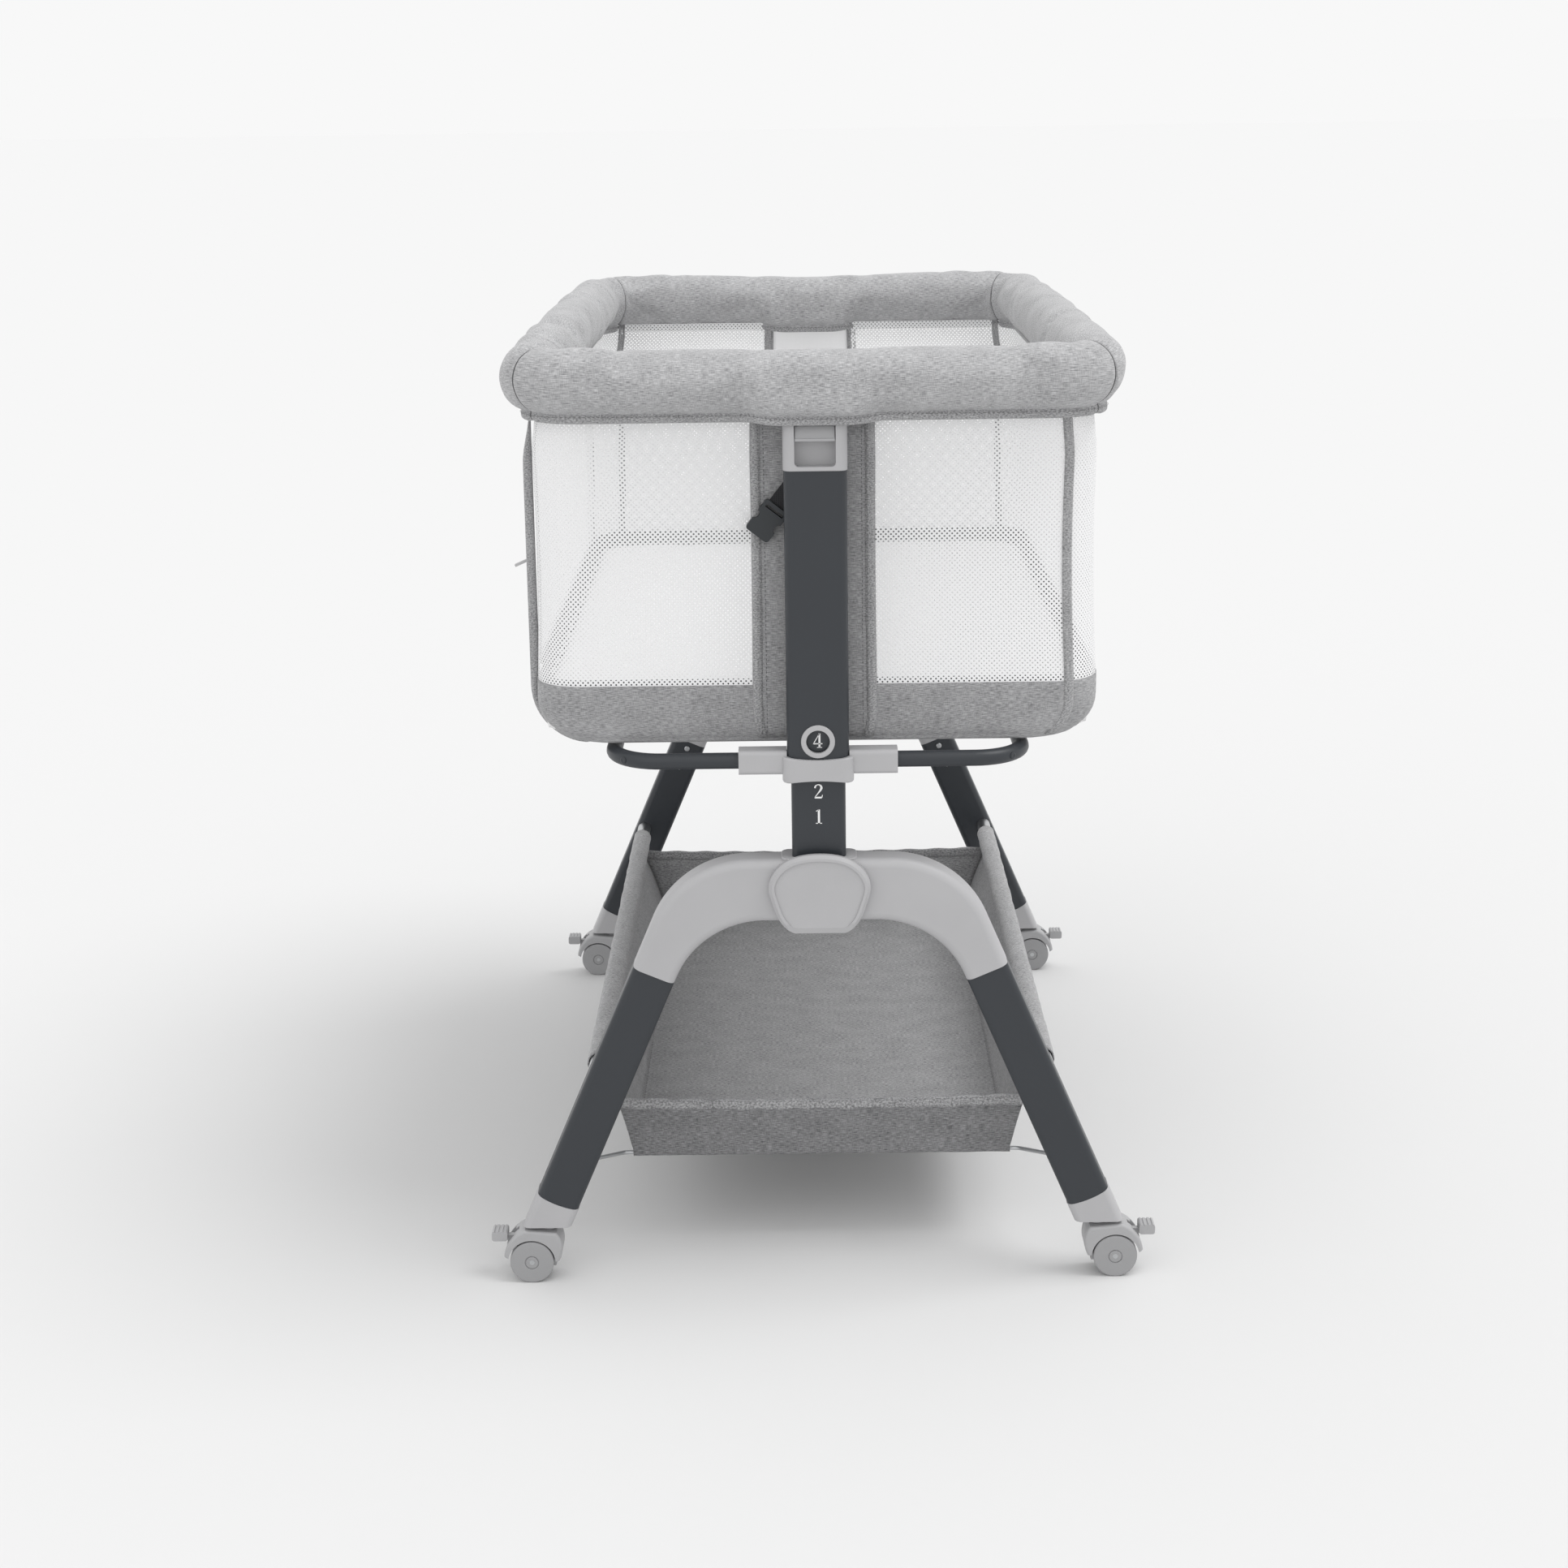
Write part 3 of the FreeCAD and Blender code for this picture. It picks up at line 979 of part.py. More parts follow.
# ================================================================ small trim
def build_zip_pull():
    """Slider and tab of the drop side's zip, at the front left corner."""
    deep, width, high = ZIP_SLIDER
    long, tab_w, tab_t = ZIP_TAB
    x, y, z = -BODY_X - ZIP_OUT, -DROP_HALF - ZIP_PAST_PANEL, BODY_Z + ZIP_UP
    slider = block(x - deep, x, y - width / 2, y + width / 2, z - high / 2, z + high / 2)
    root = x - deep / 2
    tab = block(root - long, root, y - tab_w / 2, y + tab_w / 2, z - tab_t / 2, z + tab_t / 2)
    tab.rotate(Vector(root, y, z), Vector(0, 1, 0), -ZIP_TAB_TURN)
    return slider.fuse(tab).removeSplitter()


def build_buckle():
    """Socket half of a side-release buckle, hanging beside the front post."""
    w, h, t = BUCKLE
    slot_w, slot_h, slot_in = BUCKLE_SLOT
    side, solid, face = BUCKLE_MOUTH
    body = rounded_face(w, h, BUCKLE_R, 0.0).extrude(Vector(0, 0, t))
    slot = block(-slot_w / 2, slot_w / 2, h / 2 - slot_in - slot_h / 2, h / 2 - slot_in + slot_h / 2, -1, t + 1)
    mouth = block(-w / 2 + side, w / 2 - side, -h, h / 2 - solid, face, t - face)
    body = body.cut(slot).cut(mouth)
    for sx in (1.0, -1.0):
        body = body.cut(Part.makeCylinder(BUCKLE_BITE_R, 2 * t, Vector(sx * (w / 2 + 0.3 * BUCKLE_BITE_R), -1, -1)))
    return place_hanging(body)


def place_hanging(shape):
    """Turn a flat piece made in the XY plane upright, tilt it, and put it at the buckle's place."""
    out = shape.copy()
    out.rotate(Vector(0, 0, 0), Vector(1, 0, 0), 90.0)
    out.rotate(Vector(0, 0, 0), Vector(0, 1, 0), BUCKLE_TURN)
    out.translate(Vector(-UPPER_W / 2.0 - BUCKLE_BESIDE, -BODY_Y - BUCKLE_OUT, BODY_Z + BUCKLE_UP))
    return out


def build_strap():
    """Webbing from behind the post down to the buckle."""
    h, t = BUCKLE[1:]
    mid = (t - STRAP_T) / 2.0
    strap = block(-STRAP_W / 2, STRAP_W / 2, h / 2, h / 2 + STRAP_LENGTH, mid, mid + STRAP_T)
    return place_hanging(strap)


# ================================================================ write everything
def at_end(shape, sy):
    """Piece made for the front end about Y = 0, put at the front (-1) or turned to the rear (+1)."""
    out = shape.copy()
    if sy > 0:
        out = out.mirror(Vector(0, 0, 0), Vector(0, 1, 0))
    out.translate(Vector(0, sy * POST_Y, 0))
    return out


def main():
    """Build and save every piece."""
    os.makedirs(PARTS, exist_ok=True)
    front_made = {
        "lower_post": build_lower_post(),
        "upper_post": build_upper_post(),
        "window_ring": build_window_ring(),
        "collar": build_collar(),
        "latch_housing": build_latch_housing(),
        "latch_trigger": build_trigger(),
        "arch": build_arch(),
        "hub_cover": mirrored(build_hub_cover(), 1.0, -1.0),
    }
    for end, sy in ENDS:
        for name, shape in front_made.items():
            save(name + "_" + end, at_end(shape, sy))
    quarter = {
        "leg": build_leg(),
        "foot_cap": build_foot_cap(),
        "caster_fork": build_fork(),
        "caster_wheels": build_wheels(),
        "caster_axle": build_axle(),
        "brake_pedal": build_pedal(),
    }
    for end, sy in ENDS:
        for side, sx in SIDES:
            for name, shape in quarter.items():
                placed = shape.copy()
                placed.translate(Vector(0, POST_Y, 0))
                save("_".join((name, end, side)), mirrored(placed, sx, sy))
    for side, sx in SIDES:
        save("side_tube_" + side, mirrored(build_side_tube(), sx, 1.0))
        save("base_tube_" + side, mirrored(build_base_tube(), sx, 1.0))
    for end, sy in ENDS:
        save("basket_rod_" + end, mirrored(build_basket_rod(), 1.0, sy))
    save("leg_rivets", build_rivets())
    save("basket", build_basket())
    save("lock_pins", build_lock_pins())
    save("rail_tube", fixed_rail("tube"))
    save("rail_pad", build_rail_pad())
    save("side_rail_tube", side_rail("tube"))
    save("side_rail_pad", side_rail("pad"))
    save("side_panel", build_side_panel())
    save("bed_shell", build_bed_shell())
    save("base_board", build_base_board())
    save("mattress", build_mattress())
    save("zip_pull", build_zip_pull())
    save("strap", build_strap())
    save("buckle", build_buckle())


main()
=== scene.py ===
"""Looks of the bassinet on its stand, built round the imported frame."""
import logging
import math
from dataclasses import dataclass
from enum import Enum

import bmesh
import bpy
import numpy as np
from mathutils import Matrix, Vector


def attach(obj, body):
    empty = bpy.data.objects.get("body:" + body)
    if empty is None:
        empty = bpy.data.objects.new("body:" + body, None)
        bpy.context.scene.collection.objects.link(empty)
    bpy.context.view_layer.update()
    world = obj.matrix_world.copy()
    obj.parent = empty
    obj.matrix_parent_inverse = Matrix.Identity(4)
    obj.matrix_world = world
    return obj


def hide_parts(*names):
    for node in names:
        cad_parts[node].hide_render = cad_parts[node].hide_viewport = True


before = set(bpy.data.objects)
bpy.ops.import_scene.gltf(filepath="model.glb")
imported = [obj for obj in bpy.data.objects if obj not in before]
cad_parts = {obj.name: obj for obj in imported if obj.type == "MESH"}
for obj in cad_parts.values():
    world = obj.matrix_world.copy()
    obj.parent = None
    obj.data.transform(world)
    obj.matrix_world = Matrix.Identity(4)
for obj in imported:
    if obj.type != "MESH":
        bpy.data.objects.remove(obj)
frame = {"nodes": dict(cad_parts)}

LOG = logging.getLogger("bassinet")
CLOTH_UV = "cloth"
SEED = 7


# ================================================================ shader maths
class Field:
    """A socket of a shader tree that takes part in Python expressions."""

    def __init__(self, tree: "Tree", socket: bpy.types.NodeSocket) -> None:
        """Keep the tree and the socket."""
        self.tree = tree
        self.socket = socket

    def _math(self, kind: str, *values: object) -> "Field":
        """One Math node over these values."""
        return self.tree.node("ShaderNodeMath", {"operation": kind}, dict(enumerate(values)))

    def __add__(self, other: object) -> "Field":
        """Sum."""
        return self._math("ADD", self, other)

    __radd__ = __add__

    def __sub__(self, other: object) -> "Field":
        """Difference."""
        return self._math("SUBTRACT", self, other)

    def __rsub__(self, other: object) -> "Field":
        """Difference from a number."""
        return self._math("SUBTRACT", other, self)

    def __mul__(self, other: object) -> "Field":
        """Product."""
        return self._math("MULTIPLY", self, other)

    __rmul__ = __mul__

    def __truediv__(self, other: object) -> "Field":
        """Quotient."""
        return self._math("DIVIDE", self, other)

    def wave(self) -> "Field":
        """Sine of the value in turns, from 0 to 1."""
        return self._math("SINE", self * (2 * math.pi)) * 0.5 + 0.5

    def ramp(self, low: float, high: float) -> "Field":
        """Smooth step from 0 at low to 1 at high."""
        return self.tree.node("ShaderNodeMapRange", {"interpolation_type": "SMOOTHSTEP"},
                              {"Value": self, "From Min": low, "From Max": high})

    def part(self, name: str) -> "Field":
        """X, Y or Z of a vector."""
        split = self.tree.node("ShaderNodeSeparateXYZ", {}, {0: self})
        return Field(self.tree, split.socket.node.outputs[name])


class Tree:
    """Node tree of one material, with one way to add any node."""

    def __init__(self, name: str) -> None:
        """Start an empty material.

        Args:
            name: The material's name.
        """
        self.material = bpy.data.materials.new(name)
        self.material.use_nodes = True
        self.nodes = self.material.node_tree.nodes
        self.nodes.clear()

    def node(self, kind: str, settings: dict, inputs: dict, out: object = 0) -> Field:
        """Add a node.

        Args:
            kind: Blender's node type.
            settings: Properties to set first.
            inputs: Values or links by socket name or index.
            out: The output socket's name or index.

        Returns:
            The output as a field.
        """
        made = self.nodes.new(kind)
        for key, value in settings.items():
            setattr(made, key, value)
        for key, value in inputs.items():
            if isinstance(value, Field):
                self.material.node_tree.links.new(value.socket, made.inputs[key])
            else:
                made.inputs[key].default_value = value
        return Field(self, made.outputs[out])

    def place(self, on_cloth: bool) -> Field:
        """Cloth coordinates in metres, or the object's own."""
        if on_cloth:
            return self.node("ShaderNodeUVMap", {"uv_map": CLOTH_UV}, {})
        return self.node("ShaderNodeTexCoord", {}, {}, "Object")

    def noise(self, place: Field, pitch: tuple[float, float, float], detail: float = 2.0) -> Field:
        """Noise whose grains have these sizes in metres along X, Y and Z."""
        moved = self.node("ShaderNodeMapping", {}, {"Vector": place, "Scale": [1 / p for p in pitch]})
        return self.node("ShaderNodeTexNoise", {}, {"Vector": moved, "Scale": 1.0, "Detail": detail}, "Fac")

    def mix(self, share: Field, low: tuple, high: tuple) -> Field:
        """Colour between two by a share."""
        return self.node("ShaderNodeMix", {"data_type": "RGBA"},
                         {"Factor": share, 6: (*low, 1.0), 7: (*high, 1.0)}, 2)

    def bump(self, height: Field, deep: float, strength: float = 1.0) -> Field:
        """Normal of a bumpy surface."""
        return self.node("ShaderNodeBump", {}, {"Strength": strength, "Distance": deep, "Height": height})

    def surface(self, **values: object) -> bpy.types.Material:
        """Finish the material with one Principled shader.

        Args:
            **values: Its sockets, with an underscore for a space.

        Returns:
            The material.
        """
        inputs = {key.replace("_", " "): value for key, value in values.items()}
        shader = self.node("ShaderNodeBsdfPrincipled", {}, inputs)
        self.node_output(shader)
        return self.material

    def node_output(self, shader: Field) -> None:
        """Link the shader to the output."""
        out = self.nodes.new("ShaderNodeOutputMaterial")
        self.material.node_tree.links.new(shader.socket, out.inputs["Surface"])


# ================================================================ finishes
@dataclass(frozen=True)
class HeatherCloth:
    """Grey melange upholstery cloth with short dashes along the weft."""

    name: str
    dark: tuple[float, float, float] = (0.175, 0.175, 0.180)
    light: tuple[float, float, float] = (0.600, 0.600, 0.608)
    dash: tuple[float, float] = (0.0060, 0.00060)
    weave: float = 0.0011
    relief: float = 0.00014

    def build(self) -> bpy.types.Material:
        """Material of this cloth."""
        tree = Tree(self.name)
        uv = tree.place(True)
        long, thin = self.dash
        weft = tree.noise(uv, (long, thin, 1.0), 3.0)
        warp = tree.noise(uv, (thin, long * 0.8, 1.0), 3.0)
        cloud = tree.noise(uv, (0.035, 0.022, 1.0), 1.0)
        share = (weft * 0.72 + warp * 0.28 - 0.5) * 2.1 + 0.5 + (cloud - 0.5) * 0.22
        threads = (uv.part("X") / self.weave).wave() * (uv.part("Y") / self.weave).wave()
        height = threads * 0.6 + weft * 0.4
        return tree.surface(
            Base_Color=tree.mix(share.ramp(0.0, 1.0), self.dark, self.light), Roughness=0.92,
            Sheen_Weight=0.25, Sheen_Roughness=0.5, Specular_IOR_Level=0.2,
            Normal=tree.bump(height, self.relief, 0.8))


@dataclass(frozen=True)
class NetCloth:
    """White warp-knit net with diamond holes."""

    name: str = "white_net"
    pitch: float = 0.0046
    hole: float = 0.46
    tone: tuple[float, float, float] = (0.90, 0.90, 0.906)

    def build(self) -> bpy.types.Material:
        """Material of this net."""
        tree = Tree(self.name)
        uv = tree.place(True)
        along, up = uv.part("X") / self.pitch, uv.part("Y") / self.pitch
        lattice = (along + up).wave() * (along - up).wave()
        open_part = lattice.ramp(1.0 - self.hole - 0.04, 1.0 - self.hole + 0.04)
        strands = tree.noise(uv, (0.0006, 0.0006, 1.0), 2.0)
        shade = tree.mix(strands, tuple(0.86 * c for c in self.tone), self.tone)
        return tree.surface(
            Base_Color=shade, Roughness=0.75, Alpha=1.0 - open_part, Specular_IOR_Level=0.25,
            Sheen_Weight=0.1, Normal=tree.bump(lattice * -1.0 + strands * 0.2, 0.0004, 0.6))


@dataclass(frozen=True)
class Moulded:
    """Moulded plastic or painted metal with a fine grain and slightly worn, uneven gloss."""

    name: str
    tone: tuple[float, float, float]
    rough: float = 0.42
    grain: float = 0.0009
    relief: float = 0.00004
    metal: float = 0.0
    coat: float = 0.0

    def build(self) -> bpy.types.Material:
        """Material of this finish."""
        tree = Tree(self.name)
        place = tree.place(False)
        grain = tree.noise(place, (self.grain,) * 3, 2.0)
        cloud = tree.noise(place, (0.06,) * 3, 3.0)
        scuff = tree.noise(place, (0.02, 0.02, 0.003), 4.0)
        low = tuple(0.90 * c for c in self.tone)
        high = tuple(min(1.0, 1.08 * c) for c in self.tone)
        rough = self.rough + (cloud - 0.5) * 0.14 + scuff.ramp(0.62, 0.80) * 0.08
        return tree.surface(
            Base_Color=tree.mix(cloud * 0.7 + grain * 0.3, low, high), Roughness=rough,
            Metallic=self.metal, Coat_Weight=self.coat, Coat_Roughness=0.25,
            Normal=tree.bump(grain, self.relief, 0.7))


@dataclass(frozen=True)
class Brushed:
    """Drawn steel or aluminium with fine lines."""

    name: str
    tone: tuple[float, float, float]
    rough: float = 0.34

    def build(self) -> bpy.types.Material:
        """Material of this metal."""
        tree = Tree(self.name)
        place = tree.place(False)
        lines = tree.noise(place, (0.0006, 0.03, 0.0006), 3.0)
        low = tuple(0.84 * c for c in self.tone)
        return tree.surface(
            Base_Color=tree.mix(lines, low, self.tone), Metallic=1.0,
            Roughness=self.rough + (lines - 0.5) * 0.2, Normal=tree.bump(lines, 0.00003, 0.5))


@dataclass(frozen=True)
class PlainWeave:
    """Fine woven cloth or ribbed webbing."""

    name: str
    tone: tuple[float, float, float]
    rib: tuple[float, float] = (0.0014, 0.0014)
    relief: float = 0.0003
    on_cloth: bool = True

    def build(self) -> bpy.types.Material:
        """Material of this weave."""
        tree = Tree(self.name)
        place = tree.place(self.on_cloth)
        across, along = self.rib
        second = place.part("Y") if self.on_cloth else place.part("Z")
        ribs = (place.part("X") / across).wave() * (second / along).wave()
        fluff = tree.noise(place, (0.0016,) * 3, 3.0)
        cloud = tree.noise(place, (0.05,) * 3, 2.0)
        low = tuple(0.82 * c for c in self.tone)
        return tree.surface(
            Base_Color=tree.mix(ribs * 0.5 + fluff * 0.3 + cloud * 0.2, low, self.tone), Roughness=0.85,
            Sheen_Weight=0.2, Normal=tree.bump(ribs + fluff * 0.4, self.relief, 0.7))


@dataclass(frozen=True)
class PlyBoard:
    """Plain fibreboard."""

    name: str = "fibreboard"

    def build(self) -> bpy.types.Material:
        """Material of the board."""
        tree = Tree(self.name)
        place = tree.place(False)
        grain = tree.noise(place, (0.004, 0.05, 0.004), 5.0)
        return tree.surface(
            Base_Color=tree.mix(grain, (0.30, 0.21, 0.13), (0.50, 0.38, 0.25)), Roughness=0.7,
            Normal=tree.bump(grain, 0.0002, 0.5))


@dataclass(frozen=True)
class FloorPaper:
    """Seamless pale paper."""

    name: str = "floor_paper"
    tone: float = 0.688

    def build(self) -> bpy.types.Material:
        """Material of the paper."""
        tree = Tree(self.name)
        return tree.surface(Base_Color=(self.tone, self.tone, self.tone, 1.0), Roughness=1.0,
                            Specular_IOR_Level=0.0)


class Finish(Enum):
    """Every finish on the bassinet."""

    RAIL_CLOTH = HeatherCloth("rail_cloth")
    BODY_CLOTH = HeatherCloth("body_cloth", dark=(0.135, 0.135, 0.139), light=(0.490, 0.490, 0.497))
    BINDING = HeatherCloth("binding_cloth", dark=(0.13, 0.13, 0.134), light=(0.50, 0.50, 0.506),
                           dash=(0.0022, 0.0011))
    INNER_BINDING = HeatherCloth("inner_binding_cloth", dark=(0.05, 0.05, 0.052), light=(0.20, 0.20, 0.203),
                                 dash=(0.0022, 0.0011))
    # Near-black copy of the cloth for the rail padding's seam faces: painted shade in the seam creases.
    SEAM = HeatherCloth("seam_crease_painted_shade", dark=(0.03, 0.03, 0.031), light=(0.13, 0.13, 0.132),
                        dash=(0.002, 0.001))
    # Darker copy of the basket cloth for the basket's front wall: painted shade, not a different cloth.
    PAINTED_SHADE_BASKET_CLOTH = HeatherCloth("basket_front_painted_shade_cloth", dark=(0.065, 0.065, 0.068), light=(0.34, 0.34, 0.346))
    BASKET_CLOTH = HeatherCloth("basket_cloth", dark=(0.15, 0.15, 0.154), light=(0.55, 0.55, 0.557),
                                dash=(0.0036, 0.0010))
    NET = NetCloth()
    GREY_PLASTIC = Moulded("grey_plastic_shell", (0.435, 0.433, 0.442), 0.46)
    CASTER_PLASTIC = Moulded("caster_plastic", (0.39, 0.39, 0.397), 0.45)
    WHEEL = Moulded("wheel_rubber", (0.33, 0.33, 0.336), 0.55)
    TRIGGER = Moulded("trigger_plastic", (0.38, 0.38, 0.388), 0.38)
    DARK_TUBE = Moulded("charcoal_coat", (0.024, 0.028, 0.034), 0.42, grain=0.0007, relief=0.00006, coat=0.08)
    BUCKLE = Moulded("buckle_nylon", (0.022, 0.026, 0.030), 0.40)
    ZIP = Moulded("zip_tab", (0.46, 0.46, 0.465), 0.4)
    PAINT = Moulded("number_paint", (0.85, 0.85, 0.85), 0.5)
    STEEL = Brushed("wire_steel", (0.56, 0.57, 0.58))
    ALUMINIUM = Brushed("rail_tube_metal", (0.70, 0.70, 0.71), 0.4)
    MATTRESS = PlainWeave("mattress_ticking", (0.88, 0.88, 0.88), (0.0016, 0.0016), 0.0003, False)
    LINING = PlainWeave("white_lining", (0.86, 0.86, 0.865), (0.0012, 0.0012), 0.0002)
    WEBBING = PlainWeave("black_webbing", (0.022, 0.022, 0.025), (0.0020, 0.0012), 0.0004, False)
    THREAD = PlainWeave("sewing_thread", (0.19, 0.19, 0.195), (0.0006, 0.0006), 0.0001, False)
    TEETH = Moulded("zip_teeth", (0.10, 0.10, 0.105), 0.35)
    BOARD = PlyBoard()
    PAPER = FloorPaper()


_made: dict[str, bpy.types.Material] = {}


def finish_of(kind: Finish) -> bpy.types.Material:
    """The finish's material, made once."""
    if kind.name not in _made:
        _made[kind.name] = kind.value.build()
    return _made[kind.name]


# ================================================================ mesh helpers
def select_only(obj: bpy.types.Object) -> None:
    """Deselect everything, then pick one object."""
    bpy.ops.object.select_all(action="DESELECT")
    obj.select_set(True)
    bpy.context.view_layer.objects.active = obj


def coords(mesh: bpy.types.Mesh) -> np.ndarray:
    """Vertex places of a mesh."""
    co = np.zeros(len(mesh.vertices) * 3)
    mesh.vertices.foreach_get("co", co)
    return co.reshape(-1, 3)


def put_coords(mesh: bpy.types.Mesh, co: np.ndarray) -> None:
    """Write vertex places back."""
    mesh.vertices.foreach_set("co", co.astype(np.float32).ravel())
    mesh.update()


def dress(obj: bpy.types.Object, *kinds: Finish) -> bpy.types.Object:
    """Give a new piece its materials."""
    obj.data.materials.clear()
    for kind in kinds:
        obj.data.materials.append(finish_of(kind))
    return obj


def place_new(name: str, data: bpy.types.ID) -> bpy.types.Object:
    """Put new data into the scene as an object."""
    obj = bpy.data.objects.new(name, data)
    bpy.context.scene.collection.objects.link(obj)
    return obj


def spread_uv(across: np.ndarray, along: np.ndarray) -> np.ndarray:
    """Cloth coordinates of a grid, from two arrays that stretch to its shape."""
    return np.stack(np.broadcast_arrays(across, along), axis=2)


def tangents(line: np.ndarray) -> np.ndarray:
    """Unit direction at each point of a line."""
    ahead = np.gradient(line, axis=0)
    return ahead / np.linalg.norm(ahead, axis=1)[:, None]


def lay_grid(name: str, points: np.ndarray, uv: np.ndarray, closed: bool = False) -> bpy.types.Object:
    """Make a sheet from a grid of points.

    Args:
        name: The piece's name.
        points: Rows by columns of places.
        uv: Rows by columns of cloth coordinates, with one more column if closed.
        closed: Whether the last column joins the first.

    Returns:
        The new object.
    """
    rows, cols = points.shape[:2]
    index = np.arange(rows * cols).reshape(rows, cols)
    faces, loops = [], []
    for i in range(rows - 1):
        for j in range(cols if closed else cols - 1):
            k = (j + 1) % cols
            faces.append((index[i, j], index[i, k], index[i + 1, k], index[i + 1, j]))
            loops += [uv[i, j], uv[i, j + 1], uv[i + 1, j + 1], uv[i + 1, j]]
    mesh = bpy.data.meshes.new(name)
    mesh.from_pydata(points.reshape(-1, 3).tolist(), [], [[int(v) for v in f] for f in faces])
    layer = mesh.uv_layers.new(name=CLOTH_UV)
    layer.data.foreach_set("uv", np.array(loops, np.float32).ravel())
    return place_new(name, mesh)


def close_ends(obj: bpy.types.Object, rows: int, cols: int) -> None:
    """Cap both ends of a swept piece with a fan round a middle point.

    Args:
        obj: The piece, its vertices laid row by row.
        rows: Number of sections.
        cols: Vertices in each section.
    """
    work = bmesh.new()
    work.from_mesh(obj.data)
    work.verts.ensure_lookup_table()
    layer = work.loops.layers.uv.active
    rings = [(row, [work.verts[row * cols + j] for j in range(cols)]) for row in (0, rows - 1)]
    for row, ring in rings:
        middle = work.verts.new(sum((v.co for v in ring), Vector()) / cols)
        for j in range(cols):
            pair = (ring[j], ring[(j + 1) % cols]) if row else (ring[(j + 1) % cols], ring[j])
            fan = work.faces.new((*pair, middle))
            for loop in fan.loops:
                loop[layer].uv = (loop.vert.co.x, loop.vert.co.z)
    bmesh.ops.recalc_face_normals(work, faces=work.faces)
    work.to_mesh(obj.data)
    work.free()


def face_outwards(obj: bpy.types.Object) -> None:
    """Turn all faces of a closed piece outwards, after merging its doubles."""
    select_only(obj)
    bpy.ops.object.mode_set(mode="EDIT")
    bpy.ops.mesh.select_all(action="SELECT")
    bpy.ops.mesh.remove_doubles(threshold=0.00002)
    bpy.ops.mesh.normals_make_consistent(inside=False)
    bpy.ops.object.mode_set(mode="OBJECT")


def flip(obj: bpy.types.Object) -> bpy.types.Object:
    """Turn every face of an open sheet over."""
    obj.data.flip_normals()
    return obj


def smooth(obj: bpy.types.Object, degrees: float = 40.0) -> bpy.types.Object:
    """Shade smooth across edges flatter than an angle."""
    select_only(obj)
    bpy.ops.object.shade_smooth_by_angle(angle=math.radians(degrees))
    return obj


def shade_soft(obj: bpy.types.Object) -> None:
    """Shade every face smooth."""
    for polygon in obj.data.polygons:
        polygon.use_smooth = True


def apply_all(obj: bpy.types.Object) -> bpy.types.Object:
    """Apply every modifier."""
    select_only(obj)
    for name in [m.name for m in obj.modifiers]:
        bpy.ops.object.modifier_apply(modifier=name)
    return obj


def modified(obj: bpy.types.Object, kind: str, **settings: object) -> bpy.types.Object:
    """Add one modifier and apply it.

    Args:
        obj: The piece.
        kind: Blender's modifier type.
        **settings: The modifier's properties.

    Returns:
        The piece.
    """
    modifier = obj.modifiers.new(kind.lower(), kind)
    for key, value in settings.items():
        setattr(modifier, key, value)
    return apply_all(obj)


def thicken(obj: bpy.types.Object, thick: float, offset: float = -1.0) -> bpy.types.Object:
    """Give a sheet its thickness."""
    return modified(obj, "SOLIDIFY", thickness=thick, offset=offset, use_even_offset=False)


def bevelled(obj: bpy.types.Object, width: float, segments: int) -> bpy.types.Object:
    """Round the edges."""
    return modified(obj, "BEVEL", width=width, segments=segments, limit_method="ANGLE")


def joined(pieces: list[bpy.types.Object], name: str) -> bpy.types.Object:
    """Join pieces into one.

    Args:
        pieces: At least one object.
        name: The joined piece's name.

    Returns:
        The joined object.
    """
    select_only(pieces[0])
    for piece in pieces[1:]:
        piece.select_set(True)
    if len(pieces) > 1:
        bpy.ops.object.join()
    pieces[0].name = name
    pieces[0].data.name = name
    return pieces[0]


def settle(obj: bpy.types.Object) -> bpy.types.Object:
    """Move a piece's place and turn into its mesh."""
    select_only(obj)
    bpy.ops.object.transform_apply(location=True, rotation=True, scale=True)
    return obj


def hand_over(obj: bpy.types.Object, body: str, slot: str, *nodes: str) -> bpy.types.Object:
    """Ride a finished piece on its body, hide the solids that it stands for, and report it.

    Args:
        obj: The finished piece.
        body: The body it moves with.
        slot: The record's material slot; not used.
        *nodes: The solids that it stands for.

    Returns:
        The piece.
    """
    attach(obj, body)
    if nodes:
        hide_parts(*nodes)
    LOG.info("%s: %d faces on %s", obj.name, len(obj.data.polygons), body)
    return obj


def ease(x: np.ndarray) -> np.ndarray:
    """Smooth step of values clipped to 0 and 1."""
    t = np.clip(x, 0.0, 1.0)
    return t * t * (3 - 2 * t)


def arc_lengths(points: np.ndarray) -> np.ndarray:
    """Distance run along a line of points."""
    steps = np.linalg.norm(np.diff(points, axis=0), axis=1)
    return np.concatenate([[0.0], np.cumsum(steps)])


def ripple(along: np.ndarray, up: np.ndarray, pitch: float, seed: int) -> np.ndarray:
    """Smooth seeded unevenness from -1 to 1 over a surface.

    Args:
        along: First coordinates in metres.
        up: Second coordinates in metres.
        pitch: Size of the largest waves.
        seed: Seed of the draw.

    Returns:
        One value for each place.
    """
    draw = np.random.default_rng(seed)
    total = np.zeros_like(along)
    for octave in range(7):
        turn = draw.uniform(0, math.tau)
        phase = draw.uniform(0, math.tau)
        wave = math.tau / (pitch * 0.72 ** octave)
        total += 0.75 ** octave * np.sin(wave * (math.cos(turn) * along + math.sin(turn) * up) + phase)
    return total / 2.6


